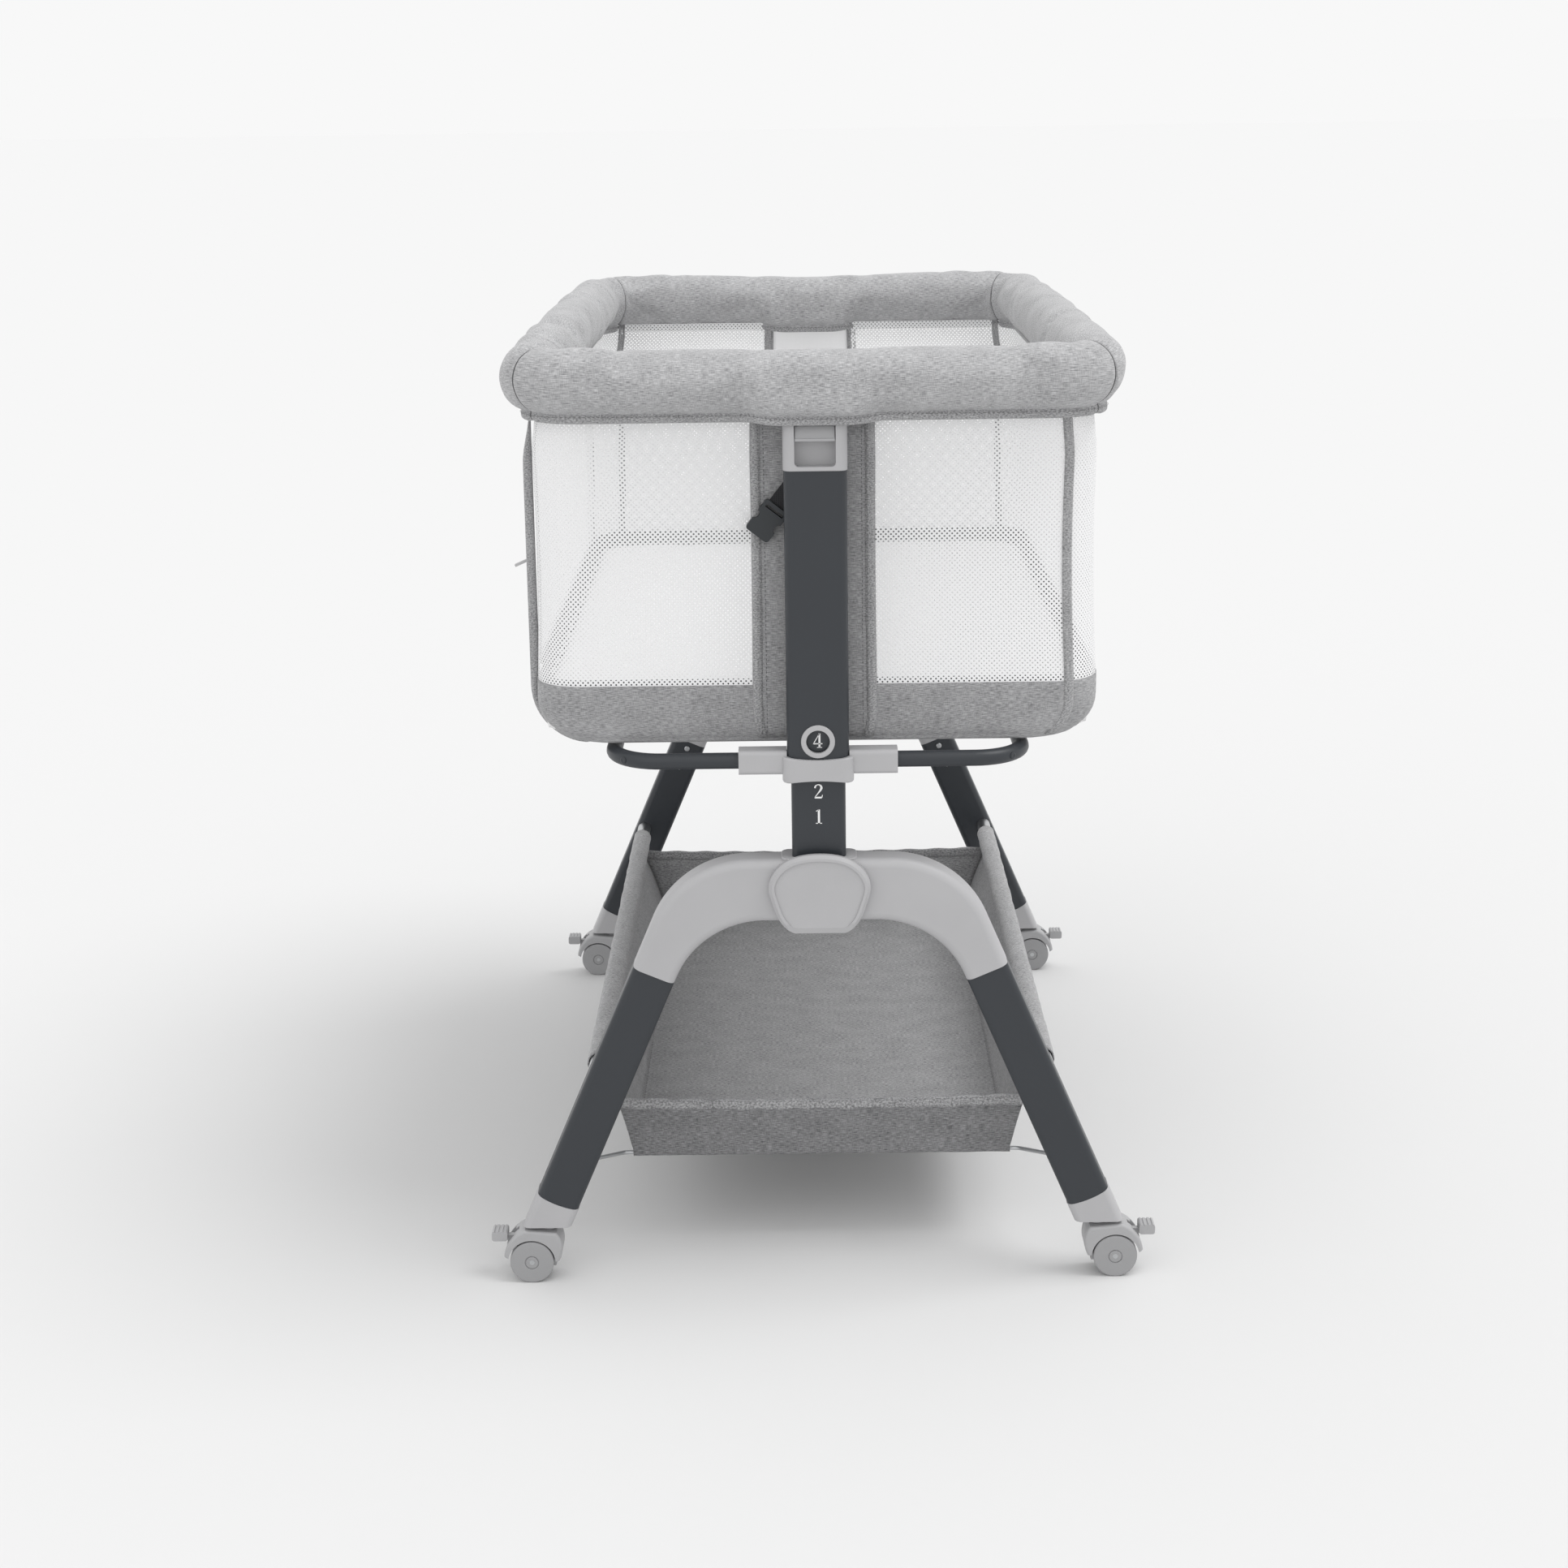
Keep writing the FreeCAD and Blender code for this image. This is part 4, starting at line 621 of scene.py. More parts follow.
def puff(obj: bpy.types.Object, held: np.ndarray, pressure: float, cap: float, spare: float = 0.02) -> None:
    """Swell a padded piece by cloth simulation, and keep the result in its mesh.

    Args:
        obj: The piece, whose vertices stay the same.
        held: True for each vertex that is sewn down.
        pressure: Pressure inside.
        cap: The furthest that a vertex may move.
        spare: Share by which the cover is cut larger than its filling.
    """
    rest = coords(obj.data)
    group = obj.vertex_groups.new(name="held")
    group.add([int(i) for i in np.nonzero(held)[0]], 1.0, "REPLACE")
    cloth = obj.modifiers.new("cloth", "CLOTH")
    s = cloth.settings
    s.quality = 5
    s.mass = 0.3
    s.tension_stiffness = 12.0
    s.compression_stiffness = 12.0
    s.shear_stiffness = 4.0
    s.bending_stiffness = 0.3
    s.vertex_group_mass = group.name
    s.use_pressure = True
    s.uniform_pressure_force = pressure
    s.shrink_min = -spare
    s.effector_weights.gravity = 0.0
    cloth.collision_settings.use_collision = False
    cloth.point_cache.frame_end = 20
    for step in range(1, 21):
        bpy.context.scene.frame_set(step)
    shaped = obj.evaluated_get(bpy.context.evaluated_depsgraph_get())
    moved = coords(shaped.data) - rest
    obj.modifiers.remove(cloth)
    obj.vertex_groups.remove(group)
    bpy.context.scene.frame_set(1)
    far = np.linalg.norm(moved, axis=1)
    moved *= (np.minimum(1.0, cap / np.maximum(far, 1e-9)))[:, None]
    put_coords(obj.data, rest + np.nan_to_num(moved))


@dataclass(frozen=True)
class Stitch:
    """Length of a stitch, distance between stitches and width of the thread."""

    long: float
    pitch: float
    wide: float


RAIL_STITCH = Stitch(0.0030, 0.0042, 0.0008)
PANEL_STITCH = Stitch(0.0028, 0.0040, 0.0009)
BASKET_STITCH = Stitch(0.0028, 0.0040, 0.0008)
FLOOR_STITCH = Stitch(0.0034, 0.0046, 0.0010)


def seam_stitches(points: np.ndarray, out: np.ndarray, kind: Stitch) -> bpy.types.Object:
    """Row of sewn stitches, each a small bead lying along the seam.

    Args:
        points: The seam's line.
        out: Outward direction at each of its points.
        kind: Size of the stitches.

    Returns:
        The row as one object.
    """
    run = arc_lengths(points)
    starts = np.arange(kind.pitch / 2, run[-1] - kind.pitch / 2, kind.pitch)
    verts, faces = [], []
    for s in starts:
        a = np.array([np.interp(s, run, points[:, k]) for k in range(3)])
        b = np.array([np.interp(s + kind.long, run, points[:, k]) for k in range(3)])
        n = np.array([np.interp(s, run, out[:, k]) for k in range(3)])
        side = np.cross(b - a, n)
        side *= kind.wide / 2 / max(np.linalg.norm(side), 1e-9)
        rise = n * kind.wide * 0.45
        first = len(verts)
        middle = (a + b) / 2
        verts += [a, b, middle + side, middle - side, middle + rise, middle - rise * 0.5]
        for i, j in ((0, 2), (2, 1), (1, 3), (3, 0)):
            faces.append((first + i, first + j, first + 4))
            faces.append((first + j, first + i, first + 5))
    mesh = bpy.data.meshes.new("stitches")
    mesh.from_pydata([list(v) for v in verts], [], faces)
    obj = place_new("stitches", mesh)
    face_outwards(obj)
    return dress(obj, Finish.THREAD)


# ================================================================ plan outline
@dataclass(frozen=True)
class Outline:
    """Rounded rectangle seen from above, run from the middle of the left side by way of the front.

    A station is a segment's number, 0 to 8, plus the share of that segment.
    """

    half_x: float
    half_y: float
    radius: float

    def at(self, stations: np.ndarray) -> tuple[np.ndarray, np.ndarray]:
        """Points and outward normals.

        Args:
            stations: Stations along the outline.

        Returns:
            Points and normals, each as rows of X and Y.
        """
        x, y, r = self.half_x, self.half_y, self.radius
        a, b = x - r, y - r
        straight = {0: ((-x, 0), (-x, -b), (-1, 0)), 2: ((-a, -y), (a, -y), (0, -1)),
                    4: ((x, -b), (x, b), (1, 0)), 6: ((a, y), (-a, y), (0, 1)),
                    8: ((-x, b), (-x, 0), (-1, 0))}
        turns = {1: (-a, -b, 180), 3: (a, -b, 270), 5: (a, b, 0), 7: (-a, b, 90)}
        points, normals = [], []
        for p in stations:
            k = min(int(p), 8)
            f = p - k
            if k in straight:
                start, end, n = straight[k]
                points.append((start[0] + (end[0] - start[0]) * f, start[1] + (end[1] - start[1]) * f))
                normals.append(n)
            else:
                cx, cy, first = turns[k]
                t = math.radians(first + 90 * f)
                normals.append((math.cos(t), math.sin(t)))
                points.append((cx + r * math.cos(t), cy + r * math.sin(t)))
        return np.array(points, float), np.array(normals, float)

    def on_left(self, y: float) -> float:
        """Station on the left side at Y."""
        run = self.half_y - self.radius
        return -y / run if y <= 0 else 9 - y / run

    def on_end(self, x: float, rear: bool = False) -> float:
        """Station on the front or rear at X, which may lie in a corner."""
        a = self.half_x - self.radius
        if rear:
            x = -x
        first = 6 if rear else 2
        if abs(x) <= a:
            return first + (x + a) / (2 * a)
        turn = math.degrees(math.asin(min(1.0, (abs(x) - a) / self.radius))) / 90
        return first + 1 + turn if x > 0 else first - turn

    def stations(self, first: float, last: float, step: float) -> np.ndarray:
        """Stations from first to last about a step apart.

        Args:
            first: Starting station.
            last: Ending station.
            step: Distance between stations in metres.

        Returns:
            The stations, with both ends.
        """
        turn = math.pi / 2 * self.radius
        a, b = 2 * (self.half_x - self.radius), self.half_y - self.radius
        spans = [b, turn, a, turn, 2 * b, turn, a, turn, b]
        found = [first]
        for k in range(int(first), 9):
            low, high = max(first, k), min(last, k + 1)
            if high <= low:
                continue
            count = max(1, round((high - low) * spans[k] / step))
            found += [low + (high - low) * (i + 1) / count for i in range(count)]
        return np.array(found)


# ================================================================ rail padding
@dataclass
class RailPadding:
    """Padded sleeve round the top rail, in a fixed run and the drop side's own run."""

    path: Outline = Outline(0.257, 0.420, 0.048)
    height: float = 0.866
    half: float = 0.0283
    drop: float = 0.0385
    hem_half: float = 0.0085
    hem_high: float = 0.0090
    latch_half: float = 0.0215
    latch_drop: float = 0.0022
    split_fixed: float = 0.3172
    split_side: float = 0.3150
    seams_x: tuple[float, float] = (0.247, 0.236)
    cap: float = 0.0035

    def section(self, hem: float, drop: float, hollow: float) -> np.ndarray:
        """Closed section, from the outer hem up over the top to the inner hem.

        Args:
            hem: Half width of the hem.
            drop: Hem's depth under the tube's centre.
            hollow: Height of the hollow between the two hems.

        Returns:
            Rows of outward distance and height.
        """
        lip, pinch = self.hem_high, hem + 0.0002
        side = [(hem - 0.0006, -drop), (hem + 0.0010, -drop + 0.0012), (hem + 0.0016, -drop + 0.35 * lip),
                (hem + 0.0015, -drop + 0.7 * lip), (pinch, -drop + lip)]
        start, end = np.array([pinch, -drop + lip]), np.array([self.half, 0.0])
        lean1 = start + np.array([0.0085, 0.0010])
        lean2 = end + np.array([0.0004, -0.0125])
        for t in np.linspace(0, 1, 10)[1:]:
            r = 1 - t
            side.append(r ** 3 * start + 3 * r ** 2 * t * lean1 + 3 * r * t * t * lean2 + t ** 3 * end)
        top = [(self.half * math.cos(t), self.half * math.sin(t)) for t in np.linspace(0, math.pi, 19)[1:-1]]
        outer = np.array([tuple(p) for p in side])
        inner = outer[::-1] * np.array([-1.0, 1.0])
        w = hem - 0.0026
        gap = [(-w, -drop + 0.0004), (-w + 0.0004, -drop + hollow), (0, -drop + hollow + 0.0004),
               (w - 0.0004, -drop + hollow), (w, -drop + 0.0004)]
        return np.vstack([outer, np.array(top), inner, np.array(gap)])

    def near_latch(self, points: np.ndarray) -> np.ndarray:
        """From 0 to 1, how near each place is to a latch at the middle of an end."""
        return ease((0.064 - np.abs(points[:, 0])) / 0.031) * (np.abs(points[:, 1]) > 0.4)

    def run(self, name: str, points: np.ndarray, normals: np.ndarray, seams: list[float]) -> bpy.types.Object:
        """Sweep the section along a line, close its ends and swell it.

        Args:
            name: The piece's name.
            points: Line in plan.
            normals: Outward directions in plan.
            seams: Distances along the line where the cover is sewn.

        Returns:
            The padded piece.
        """
        s = arc_lengths(points)
        near = self.near_latch(points)
        rows = []
        for i in range(len(points)):
            hem = self.hem_half + (self.latch_half - self.hem_half) * near[i]
            ring = self.section(hem, self.drop + self.latch_drop * near[i], 0.0022 + 0.020 * near[i])
            pull = sum(math.exp(-((s[i] - k) / 0.0030) ** 2) for k in seams)
            ring[:-5] *= 1 - 0.060 * pull
            rows.append(ring)
        rows = np.array(rows)
        centre = np.array([0.0, -0.004])
        ends = (1.0, 0.975, 0.90, 0.60)
        shapes = [centre + (rows[0] - centre) * k for k in ends[:0:-1]] + list(rows)
        shapes += [centre + (rows[-1] - centre) * k for k in ends[1:]]
        first_t, last_t = points[0] - points[1], points[-1] - points[-2]
        first_t, last_t = first_t / np.linalg.norm(first_t), last_t / np.linalg.norm(last_t)
        out = (0.0, 0.0006, 0.0013, 0.0016)
        places = [points[0] + first_t * (k - out[-1]) for k in out[:0:-1]] + list(points)
        places[3:4] = [points[0] - first_t * out[-1]]
        places[-1] = points[-1] - last_t * out[-1]
        places += [points[-1] + last_t * (k - out[-1]) for k in out[1:]]
        sides = [normals[0]] * 3 + list(normals) + [normals[-1]] * 3
        shapes, places, sides = np.array(shapes), np.array(places), np.array(sides)
        grid = np.zeros((len(places), shapes.shape[1], 3))
        grid[:, :, :2] = places[:, None, :] + sides[:, None, :] * shapes[:, :, :1]
        grid[:, :, 2] = self.height + shapes[:, :, 1]
        u = arc_lengths(places)
        v = arc_lengths(np.vstack([rows[0], rows[0][:1]]))
        obj = lay_grid(name, grid, spread_uv(u[:, None], v[None, :]), closed=True)
        cols = shapes.shape[1]
        close_ends(obj, len(places), cols)
        band = np.zeros(cols, bool)
        band[:5] = True
        band[-10:] = True
        held = np.zeros((len(places), cols), bool)
        held[:, band] = True
        held[:4] = True
        held[-4:] = True
        for k in seams:
            held[3:-3][np.abs(s - k) < 0.0012] = True
        puff(obj, held.ravel(), 3.0, self.cap, 0.022)
        dress(obj, Finish.RAIL_CLOTH, Finish.BINDING, Finish.SEAM)
        # Faces right at the seams take the near-black seam cloth, painted shade in the seam creases; the hem
        # strips take the binding.
        faces = np.array([p.index for p in obj.data.polygons])
        column = faces % cols
        strip = ((column < 4) | (column >= cols - 9)) & (faces < (len(places) - 1) * cols)
        middle = np.concatenate([s[:1], (s[1:] + s[:-1]) / 2])
        seam_shade_row = np.array([bool(seams) and min(abs(m - k) for k in seams) < 0.0009 for m in middle])
        row = np.clip(faces // cols - 2, 0, len(s) - 1)
        dark = seam_shade_row[row] & (faces < (len(places) - 1) * cols)
        obj.data.polygons.foreach_set("material_index", np.where(dark, 2, strip).astype(np.int32))
        modified(obj, "SUBSURF", levels=1, render_levels=1)
        self._pucker(obj)
        shade_soft(obj)
        return obj

    def _pucker(self, obj: bpy.types.Object) -> None:
        """Small gathers over the hem and soft unevenness of the cover."""
        co = coords(obj.data)
        normals = np.zeros(len(co) * 3)
        obj.data.vertices.foreach_get("normal", normals)
        normals = normals.reshape(-1, 3)
        along = co[:, 0] * 1.3 + co[:, 1]
        up = co[:, 2] - (self.height - self.drop)
        low = np.exp(-((up - 0.016) / 0.009) ** 2)
        gathers = ripple(along, up * 0.25, 0.030, SEED) * 0.0006 * low
        soft = ripple(co[:, 0], co[:, 1] + co[:, 2], 0.13, SEED + 1) * 0.00045
        put_coords(obj.data, co + normals * (gathers + soft * (up > 0.010))[:, None])

    def hem_line(self, points: np.ndarray, normals: np.ndarray, side: float) -> tuple[np.ndarray, np.ndarray]:
        """Line of the stitches along the hem, and its outward direction."""
        near = self.near_latch(points)
        hem = self.hem_half + (self.latch_half - self.hem_half) * near + 0.0018
        line = np.zeros((len(points), 3))
        line[:, :2] = points + normals * (hem * side)[:, None]
        line[:, 2] = self.height - self.drop - self.latch_drop * near + 0.70 * self.hem_high
        out = np.zeros((len(points), 3))
        out[:, :2] = normals * side
        return line, out

    def build(self) -> None:
        """Make both runs and their stitches."""
        path = self.path
        ends = path.on_left(-self.split_fixed), path.on_left(self.split_fixed)
        front, rear = self.seams_x
        marks = [path.on_end(-front), path.on_end(front), path.on_end(rear, True), path.on_end(-rear, True)]
        fine = path.stations(ends[0], ends[1], 0.008)
        fine = fine[[min(abs(k - m) for m in marks) > 0.07 for k in fine]]
        near = [m + k for m in marks for k in (-0.06, -0.03, -0.009, 0.009, 0.03, 0.06)]
        points, normals = path.at(np.sort(np.concatenate([fine, near])))
        s = arc_lengths(points)
        seams = []
        for station in marks:
            spot = path.at(np.array([station]))[0][0]
            first, second = np.sort(np.argsort(np.linalg.norm(points - spot, axis=1))[:2])
            seams.append(float(s[first] + s[second]) / 2)
        fixed = self.run("rail_padding", points, normals, seams)
        hand_over(fixed, "bed", "heather_fabric", "rail_pad")
        rows = [seam_stitches(*self.hem_line(points, normals, k), RAIL_STITCH) for k in (1.0, -1.0)]
        hand_over(joined(rows, "rail_stitches"), "bed", "heather_fabric")
        y = np.linspace(self.split_side, -self.split_side, 80)
        points = np.stack([np.full_like(y, -path.half_x), y], axis=1)
        normals = np.tile([-1.0, 0.0], (len(y), 1))
        side = self.run("side_rail_padding", points, normals, [])
        hand_over(side, "drop_side", "heather_fabric", "side_rail_pad")
        rows = [seam_stitches(*self.hem_line(points, normals, k), RAIL_STITCH) for k in (1.0, -1.0)]
        hand_over(joined(rows, "side_rail_stitches"), "drop_side", "heather_fabric")


# ================================================================ fabric body
@dataclass
class BedBody:
    """Fabric body: grey trough, net walls, sewn panels and strips."""

    half_x: float = 0.2632
    half_y: float = 0.3955
    corner: float = 0.045
    lower_r: float = 0.036
    end_r: float = 0.006
    bottom: float = 0.5240
    band_top: float = 0.5790
    net_top: float = 0.8370
    hem: float = 0.8310
    lean_x: float = 0.0055
    lean_y: float = 0.0060
    bow: float = 0.0030
    flare: float = 0.0085
    drop_half: float = 0.3310
    panel: tuple[float, float] = (-0.0594, 0.0553)
    panel_foot: float = 0.5300
    panel_top: float = 0.8400
    binding: float = 0.0100
    binding_proud: float = 0.0026
    strip_x: tuple[float, float] = (0.2285, 0.2375)
    strip_proud: float = 0.0016
    border: float = 0.0160
    border_turn: float = 0.0220
    tooth_pitch: float = 0.0021
    teeth: int = 118
    zip_out: float = 0.0035
    fold_out: float = 0.0125

    def outline(self, z: float) -> Outline:
        """Plan outline of the body at a height."""
        lean = float(ease(np.array((z - 0.785) / 0.046)))
        share = (z - self.band_top) / (self.hem - self.band_top)
        bow = self.bow * math.sin(math.pi * min(1.0, max(0.0, share)))
        x, y = self.half_x - self.lean_x * lean - bow, self.half_y + self.lean_y * lean - bow
        rise = z - self.bottom
        if rise < self.lower_r:
            x -= self.lower_r - math.sqrt(max(0.0, self.lower_r ** 2 - (self.lower_r - rise) ** 2))
        if rise < self.end_r:
            y -= self.end_r - math.sqrt(max(0.0, self.end_r ** 2 - (self.end_r - rise) ** 2))
        return Outline(x, y, self.corner)

    def end_y(self, x: np.ndarray, z: float) -> np.ndarray:
        """How much further out the end walls stand at X and Z, away from the latches."""
        return self.flare * ease(np.array((z - 0.785) / 0.046)) * ease((np.abs(x) - 0.033) / 0.028)

    def patch(self, name: str, stations: np.ndarray, heights: np.ndarray, proud: float = 0.0,
              closed: bool = False) -> bpy.types.Object:
        """Sheet that follows the body's side.

        Args:
            name: The piece's name.
            stations: Stations along the outline.
            heights: Heights of its rows.
            proud: Distance outside the body's own surface.
            closed: Whether it runs all the way round.

        Returns:
            The sheet, facing outwards.
        """
        grid = []
        for z in heights:
            points, normals = self.outline(float(z)).at(stations)
            points = points + normals * proud
            points[:, 1] += normals[:, 1] * self.end_y(points[:, 0], float(z))
            grid.append(np.column_stack([points, np.full(len(points), z)]))
        grid = np.array(grid)
        u = arc_lengths(grid[len(heights) - 1, :, :])
        v = arc_lengths(grid[:, len(stations) // 2, :])
        if closed:
            grid = grid[:, :-1]
        return lay_grid(name, grid, spread_uv(u[None, :], v[:, None]), closed)

    def sheet(self, obj: bpy.types.Object, body: str, slot: str, kind: Finish,
              nodes: tuple = ()) -> None:
        """Dress and hand over one sewn sheet."""
        dress(obj, kind)
        shade_soft(obj)
        hand_over(obj, body, slot, *nodes)

    def trough(self) -> None:
        """Grey lower band with its rounded lower edges, and the floor."""
        ref = self.outline(self.band_top)
        stations = ref.stations(0.0, 9.0, 0.010)
        angles = np.linspace(0, math.pi / 2, 9)
        low = self.bottom + self.lower_r * (1 - np.cos(angles))
        extra = self.bottom + np.array([0.0008, 0.0018, 0.0032, 0.0048, 0.0062])
        heights = np.unique(np.round(np.concatenate([low, extra, np.linspace(0.562, self.band_top, 4)]), 5))
        band = self.patch("body_band", stations, heights, 0.0, closed=True)
        co = coords(band.data)
        up = co[:, 2] - self.bottom
        spread = np.exp(-((up - 0.0052) / 0.0010) ** 2) * -0.0009
        spread = spread + np.exp(-((up - 0.0026) / 0.0014) ** 2) * 0.0007
        out = co.copy()
        out[:, 2] = 0
        out /= np.linalg.norm(out, axis=1)[:, None]
        slack = ripple(co[:, 0] + co[:, 1], co[:, 2], 0.09, SEED + 2) * 0.0009 * ease((up - 0.008) / 0.02)
        slack *= ease((0.052 - up) / 0.012)
        put_coords(band.data, co + out * (spread + slack)[:, None])
        self.sheet(thicken(band, 0.0018), "bed", "shell_fabric", Finish.BODY_CLOTH,
                   ("bed_shell",))
        heights = np.linspace(0.5705, 0.5845, 6)
        lip = self.patch("inner_binding", ref.stations(0.0, 9.0, 0.012), heights, -0.0030, closed=True)
        self.sheet(thicken(lip, 0.0010), "bed", "shell_fabric", Finish.INNER_BINDING, ())
        inner = self.outline(self.bottom + 0.0008)
        half = inner.at(inner.stations(3.0, 6.0, 0.012))[0]
        across = np.linspace(-1, 1, 41)
        grid = np.zeros((len(half), len(across), 3))
        grid[:, :, 0] = half[:, :1] * across[None, :]
        grid[:, :, 1] = half[:, 1:2]
        sag = np.cos(across * math.pi / 2)[None, :] * np.cos(half[:, 1:2] / 0.39 * math.pi / 2)
        grid[:, :, 2] = self.bottom + 0.0008 + 0.0004 * (1 - sag)
        floor = lay_grid("body_floor", grid, grid[:, :, :2])
        flip(floor)
        self.sheet(thicken(floor, 0.0015), "bed", "shell_fabric", Finish.BODY_CLOTH)

    def walls(self) -> None:
        """Net walls, the drop side's net, centre panels, bindings and corner strips."""
        ref = self.outline(self.band_top)
        heights = np.linspace(self.band_top + 0.006, self.net_top, 20)
        heights = np.concatenate([[self.band_top - 0.003], heights])
        left, right = self.panel
        left, right = left + self.binding / 2, right - self.binding / 2
        runs = {"net_front_left": (ref.on_left(-0.3330), ref.on_end(left)),
                "net_right": (ref.on_end(right), ref.on_end(right, True)),
                "net_rear_left": (ref.on_end(left, True), ref.on_left(0.3330))}
        for name, (first, last) in runs.items():
            wall = self.patch(name, ref.stations(first, last, 0.012), heights, -0.0008)
            wide = arc_lengths(ref.at(ref.stations(first, last, 0.012))[0])[-1]
            self.sheet(wall, "bed", "mesh_fabric", Finish.NET)
        for end, rear in (("front", False), ("rear", True)):
            self._centre(ref, end, rear)
        near, far = self.strip_x
        places = [("front_right", ref.on_end(near), ref.on_end(far)),
                  ("rear_right", ref.on_end(far, True), ref.on_end(near, True)),
                  ("rear_left", ref.on_end(-near, True), ref.on_end(-far, True))]
        for name, first, last in places:
            run = ref.stations(first, last, 0.0016)
            self._strip("corner_strip_" + name, run, self.panel_foot - 0.0010, self.net_top, self.strip_proud)
        self._drop_side(ref)

    def _strip(self, name: str, stations: np.ndarray, low: float, high: float, proud: float,
               kind: Finish = Finish.BINDING) -> None:
        """Narrow sewn strip with a rounded section that runs up the body's side."""
        above = np.linspace(self.band_top + 0.008, high, 22)
        heights = np.concatenate([np.linspace(low, self.band_top, 8), above])
        strip = self.patch(name, stations, heights, 0.0)
        co = coords(strip.data).reshape(len(heights), len(stations), 3)
        share = np.linspace(-1, 1, len(stations))
        crown = np.sqrt(np.maximum(0.0, 1 - share ** 2)) * proud + 0.0001
        ripples = 1 + 0.18 * ripple(co[:, :, 2], co[:, :, 0] * 3, 0.03, SEED + 5)
        normals = np.array([self.outline(float(z)).at(stations)[1] for z in heights])
        co[:, :, :2] += normals * (crown[None, :] * ripples)[:, :, None]
        put_coords(strip.data, co.reshape(-1, 3))
        wide = float(np.linalg.norm(co[0, 0] - co[0, -1]))
        self.sheet(thicken(strip, 0.0030), "bed", "shell_fabric", kind)

    def _centre(self, ref: Outline, end: str, rear: bool) -> None:
        """Centre panel behind a post, with its side bindings and double seams."""
        sign = -1.0 if rear else 1.0
        left, right = (sign * x for x in self.panel)
        stations = np.linspace(ref.on_end(left, rear), ref.on_end(right, rear), 27)
        above = np.linspace(self.band_top + 0.008, self.panel_top, 34)
        heights = np.concatenate([np.linspace(self.panel_foot, self.band_top, 9), above])
        panel = self.patch("centre_panel_" + end, stations, heights, 0.0010)
        co = coords(panel.data).reshape(len(heights), len(stations), 3)
        out = 1.0 if rear else -1.0
        share = np.linspace(-1, 1, len(stations))
        wrinkle = ripple(co[:, :, 0] * 0.6, co[:, :, 2], 0.030, SEED + 8) * 0.0007 * (1 - share ** 4)[None, :]
        co[:, :, 1] += out * wrinkle
        put_coords(panel.data, co.reshape(-1, 3))
        self.sheet(thicken(panel, 0.0012), "bed",
                   "shell_fabric", Finish.BODY_CLOTH)
        high = np.linspace(self.band_top + 0.004, 0.8380, 24)
        edges = left + sign * 0.0120, right - sign * 0.0120
        between = np.linspace(ref.on_end(edges[0], rear), ref.on_end(edges[1], rear), 21)
        lining = self.patch("centre_lining_" + end, between, high, -0.0016)
        self.sheet(thicken(lining, 0.0008), "bed", "shell_fabric",
                   Finish.LINING)
        rows = []
        for name, edge, inward in (("a", left, sign), ("b", right, -sign)):
            spots = sorted((edge, edge + inward * self.binding))
            run = np.linspace(ref.on_end(spots[0], rear), ref.on_end(spots[1], rear), 9)
            if rear:
                run = run[::-1]
            self._strip("binding_" + end + "_" + name, run, self.panel_foot, self.panel_top,
                        self.binding_proud)
            for away in (0.0082, 0.0128):
                x = edge + inward * away
                z = np.linspace(0.532, 0.832, 40)
                y = np.array([self.outline(float(k)).half_y + self.end_y(np.array(x), float(k)) for k in z])
                y += 0.0034 if away < 0.01 else 0.0014
                line = np.column_stack([np.full(40, x), out * y, z])
                rows.append(seam_stitches(line, np.tile([0.0, out, 0.0], (40, 1)), PANEL_STITCH))
        hand_over(joined(rows, "panel_stitches_" + end), "bed", "shell_fabric")

    def _drop_side(self, ref: Outline) -> None:
        """Net of the drop side inside its sewn border, the zips and the folds beside them."""
        inner = self.drop_half - self.border
        low = self.band_top + 0.0012
        z = np.concatenate([np.linspace(low + 0.010, 0.80, 14), np.linspace(0.806, 0.8300, 5)])
        y = np.linspace(inner + 0.004, -inner - 0.004, 56)
        x = np.array([-self.outline(float(k)).half_x for k in z])
        grid = np.zeros((len(z), len(y), 3))
        grid[:, :, 0] = x[:, None] + 0.0006
        grid[:, :, 1] = y[None, :]
        grid[:, :, 2] = z[:, None]
        net = lay_grid("net_drop_side", grid, spread_uv(-y[None, :], z[:, None]))
        self.sheet(net, "drop_side", "mesh_fabric", Finish.NET, ("side_panel",))
        wide, turn = self.border, self.border_turn
        edge = self.drop_half - wide / 2
        line = [(edge, k) for k in np.linspace(0.829, low + 0.030, 26)]
        line += [(edge - turn * (1 - math.cos(t)), low + 0.030 - turn * math.sin(t))
                 for t in np.linspace(0, math.pi / 2, 9)[1:]]
        reach = self.drop_half - 0.040
        line += [(k, low + wide / 2) for k in np.linspace(reach, -reach, 60)]
        line += [(-a, b) for a, b in line[33::-1]]
        line = np.array(line)
        ahead = tangents(line)
        sidewise = np.column_stack([-ahead[:, 1], ahead[:, 0]])
        share = np.linspace(-1, 1, 9)
        spread = line[:, None, :] + sidewise[:, None, :] * (share * wide / 2)[None, :, None]
        grid = np.zeros((len(line), 9, 3))
        x = np.array([[-self.outline(float(k)).half_x for k in row] for row in spread[:, :, 1]])
        grid[:, :, 0] = x - 0.0004 - 0.0013 * np.sqrt(1 - share ** 2)[None, :]
        grid[:, :, 1:] = spread
        run = arc_lengths(line)
        border = lay_grid("drop_side_border", grid, spread_uv(run[:, None], (share * wide / 2)[None, :]))
        self.sheet(thicken(border, 0.0012), "drop_side", "mesh_fabric",
                   Finish.BINDING, ())
        self._zips()

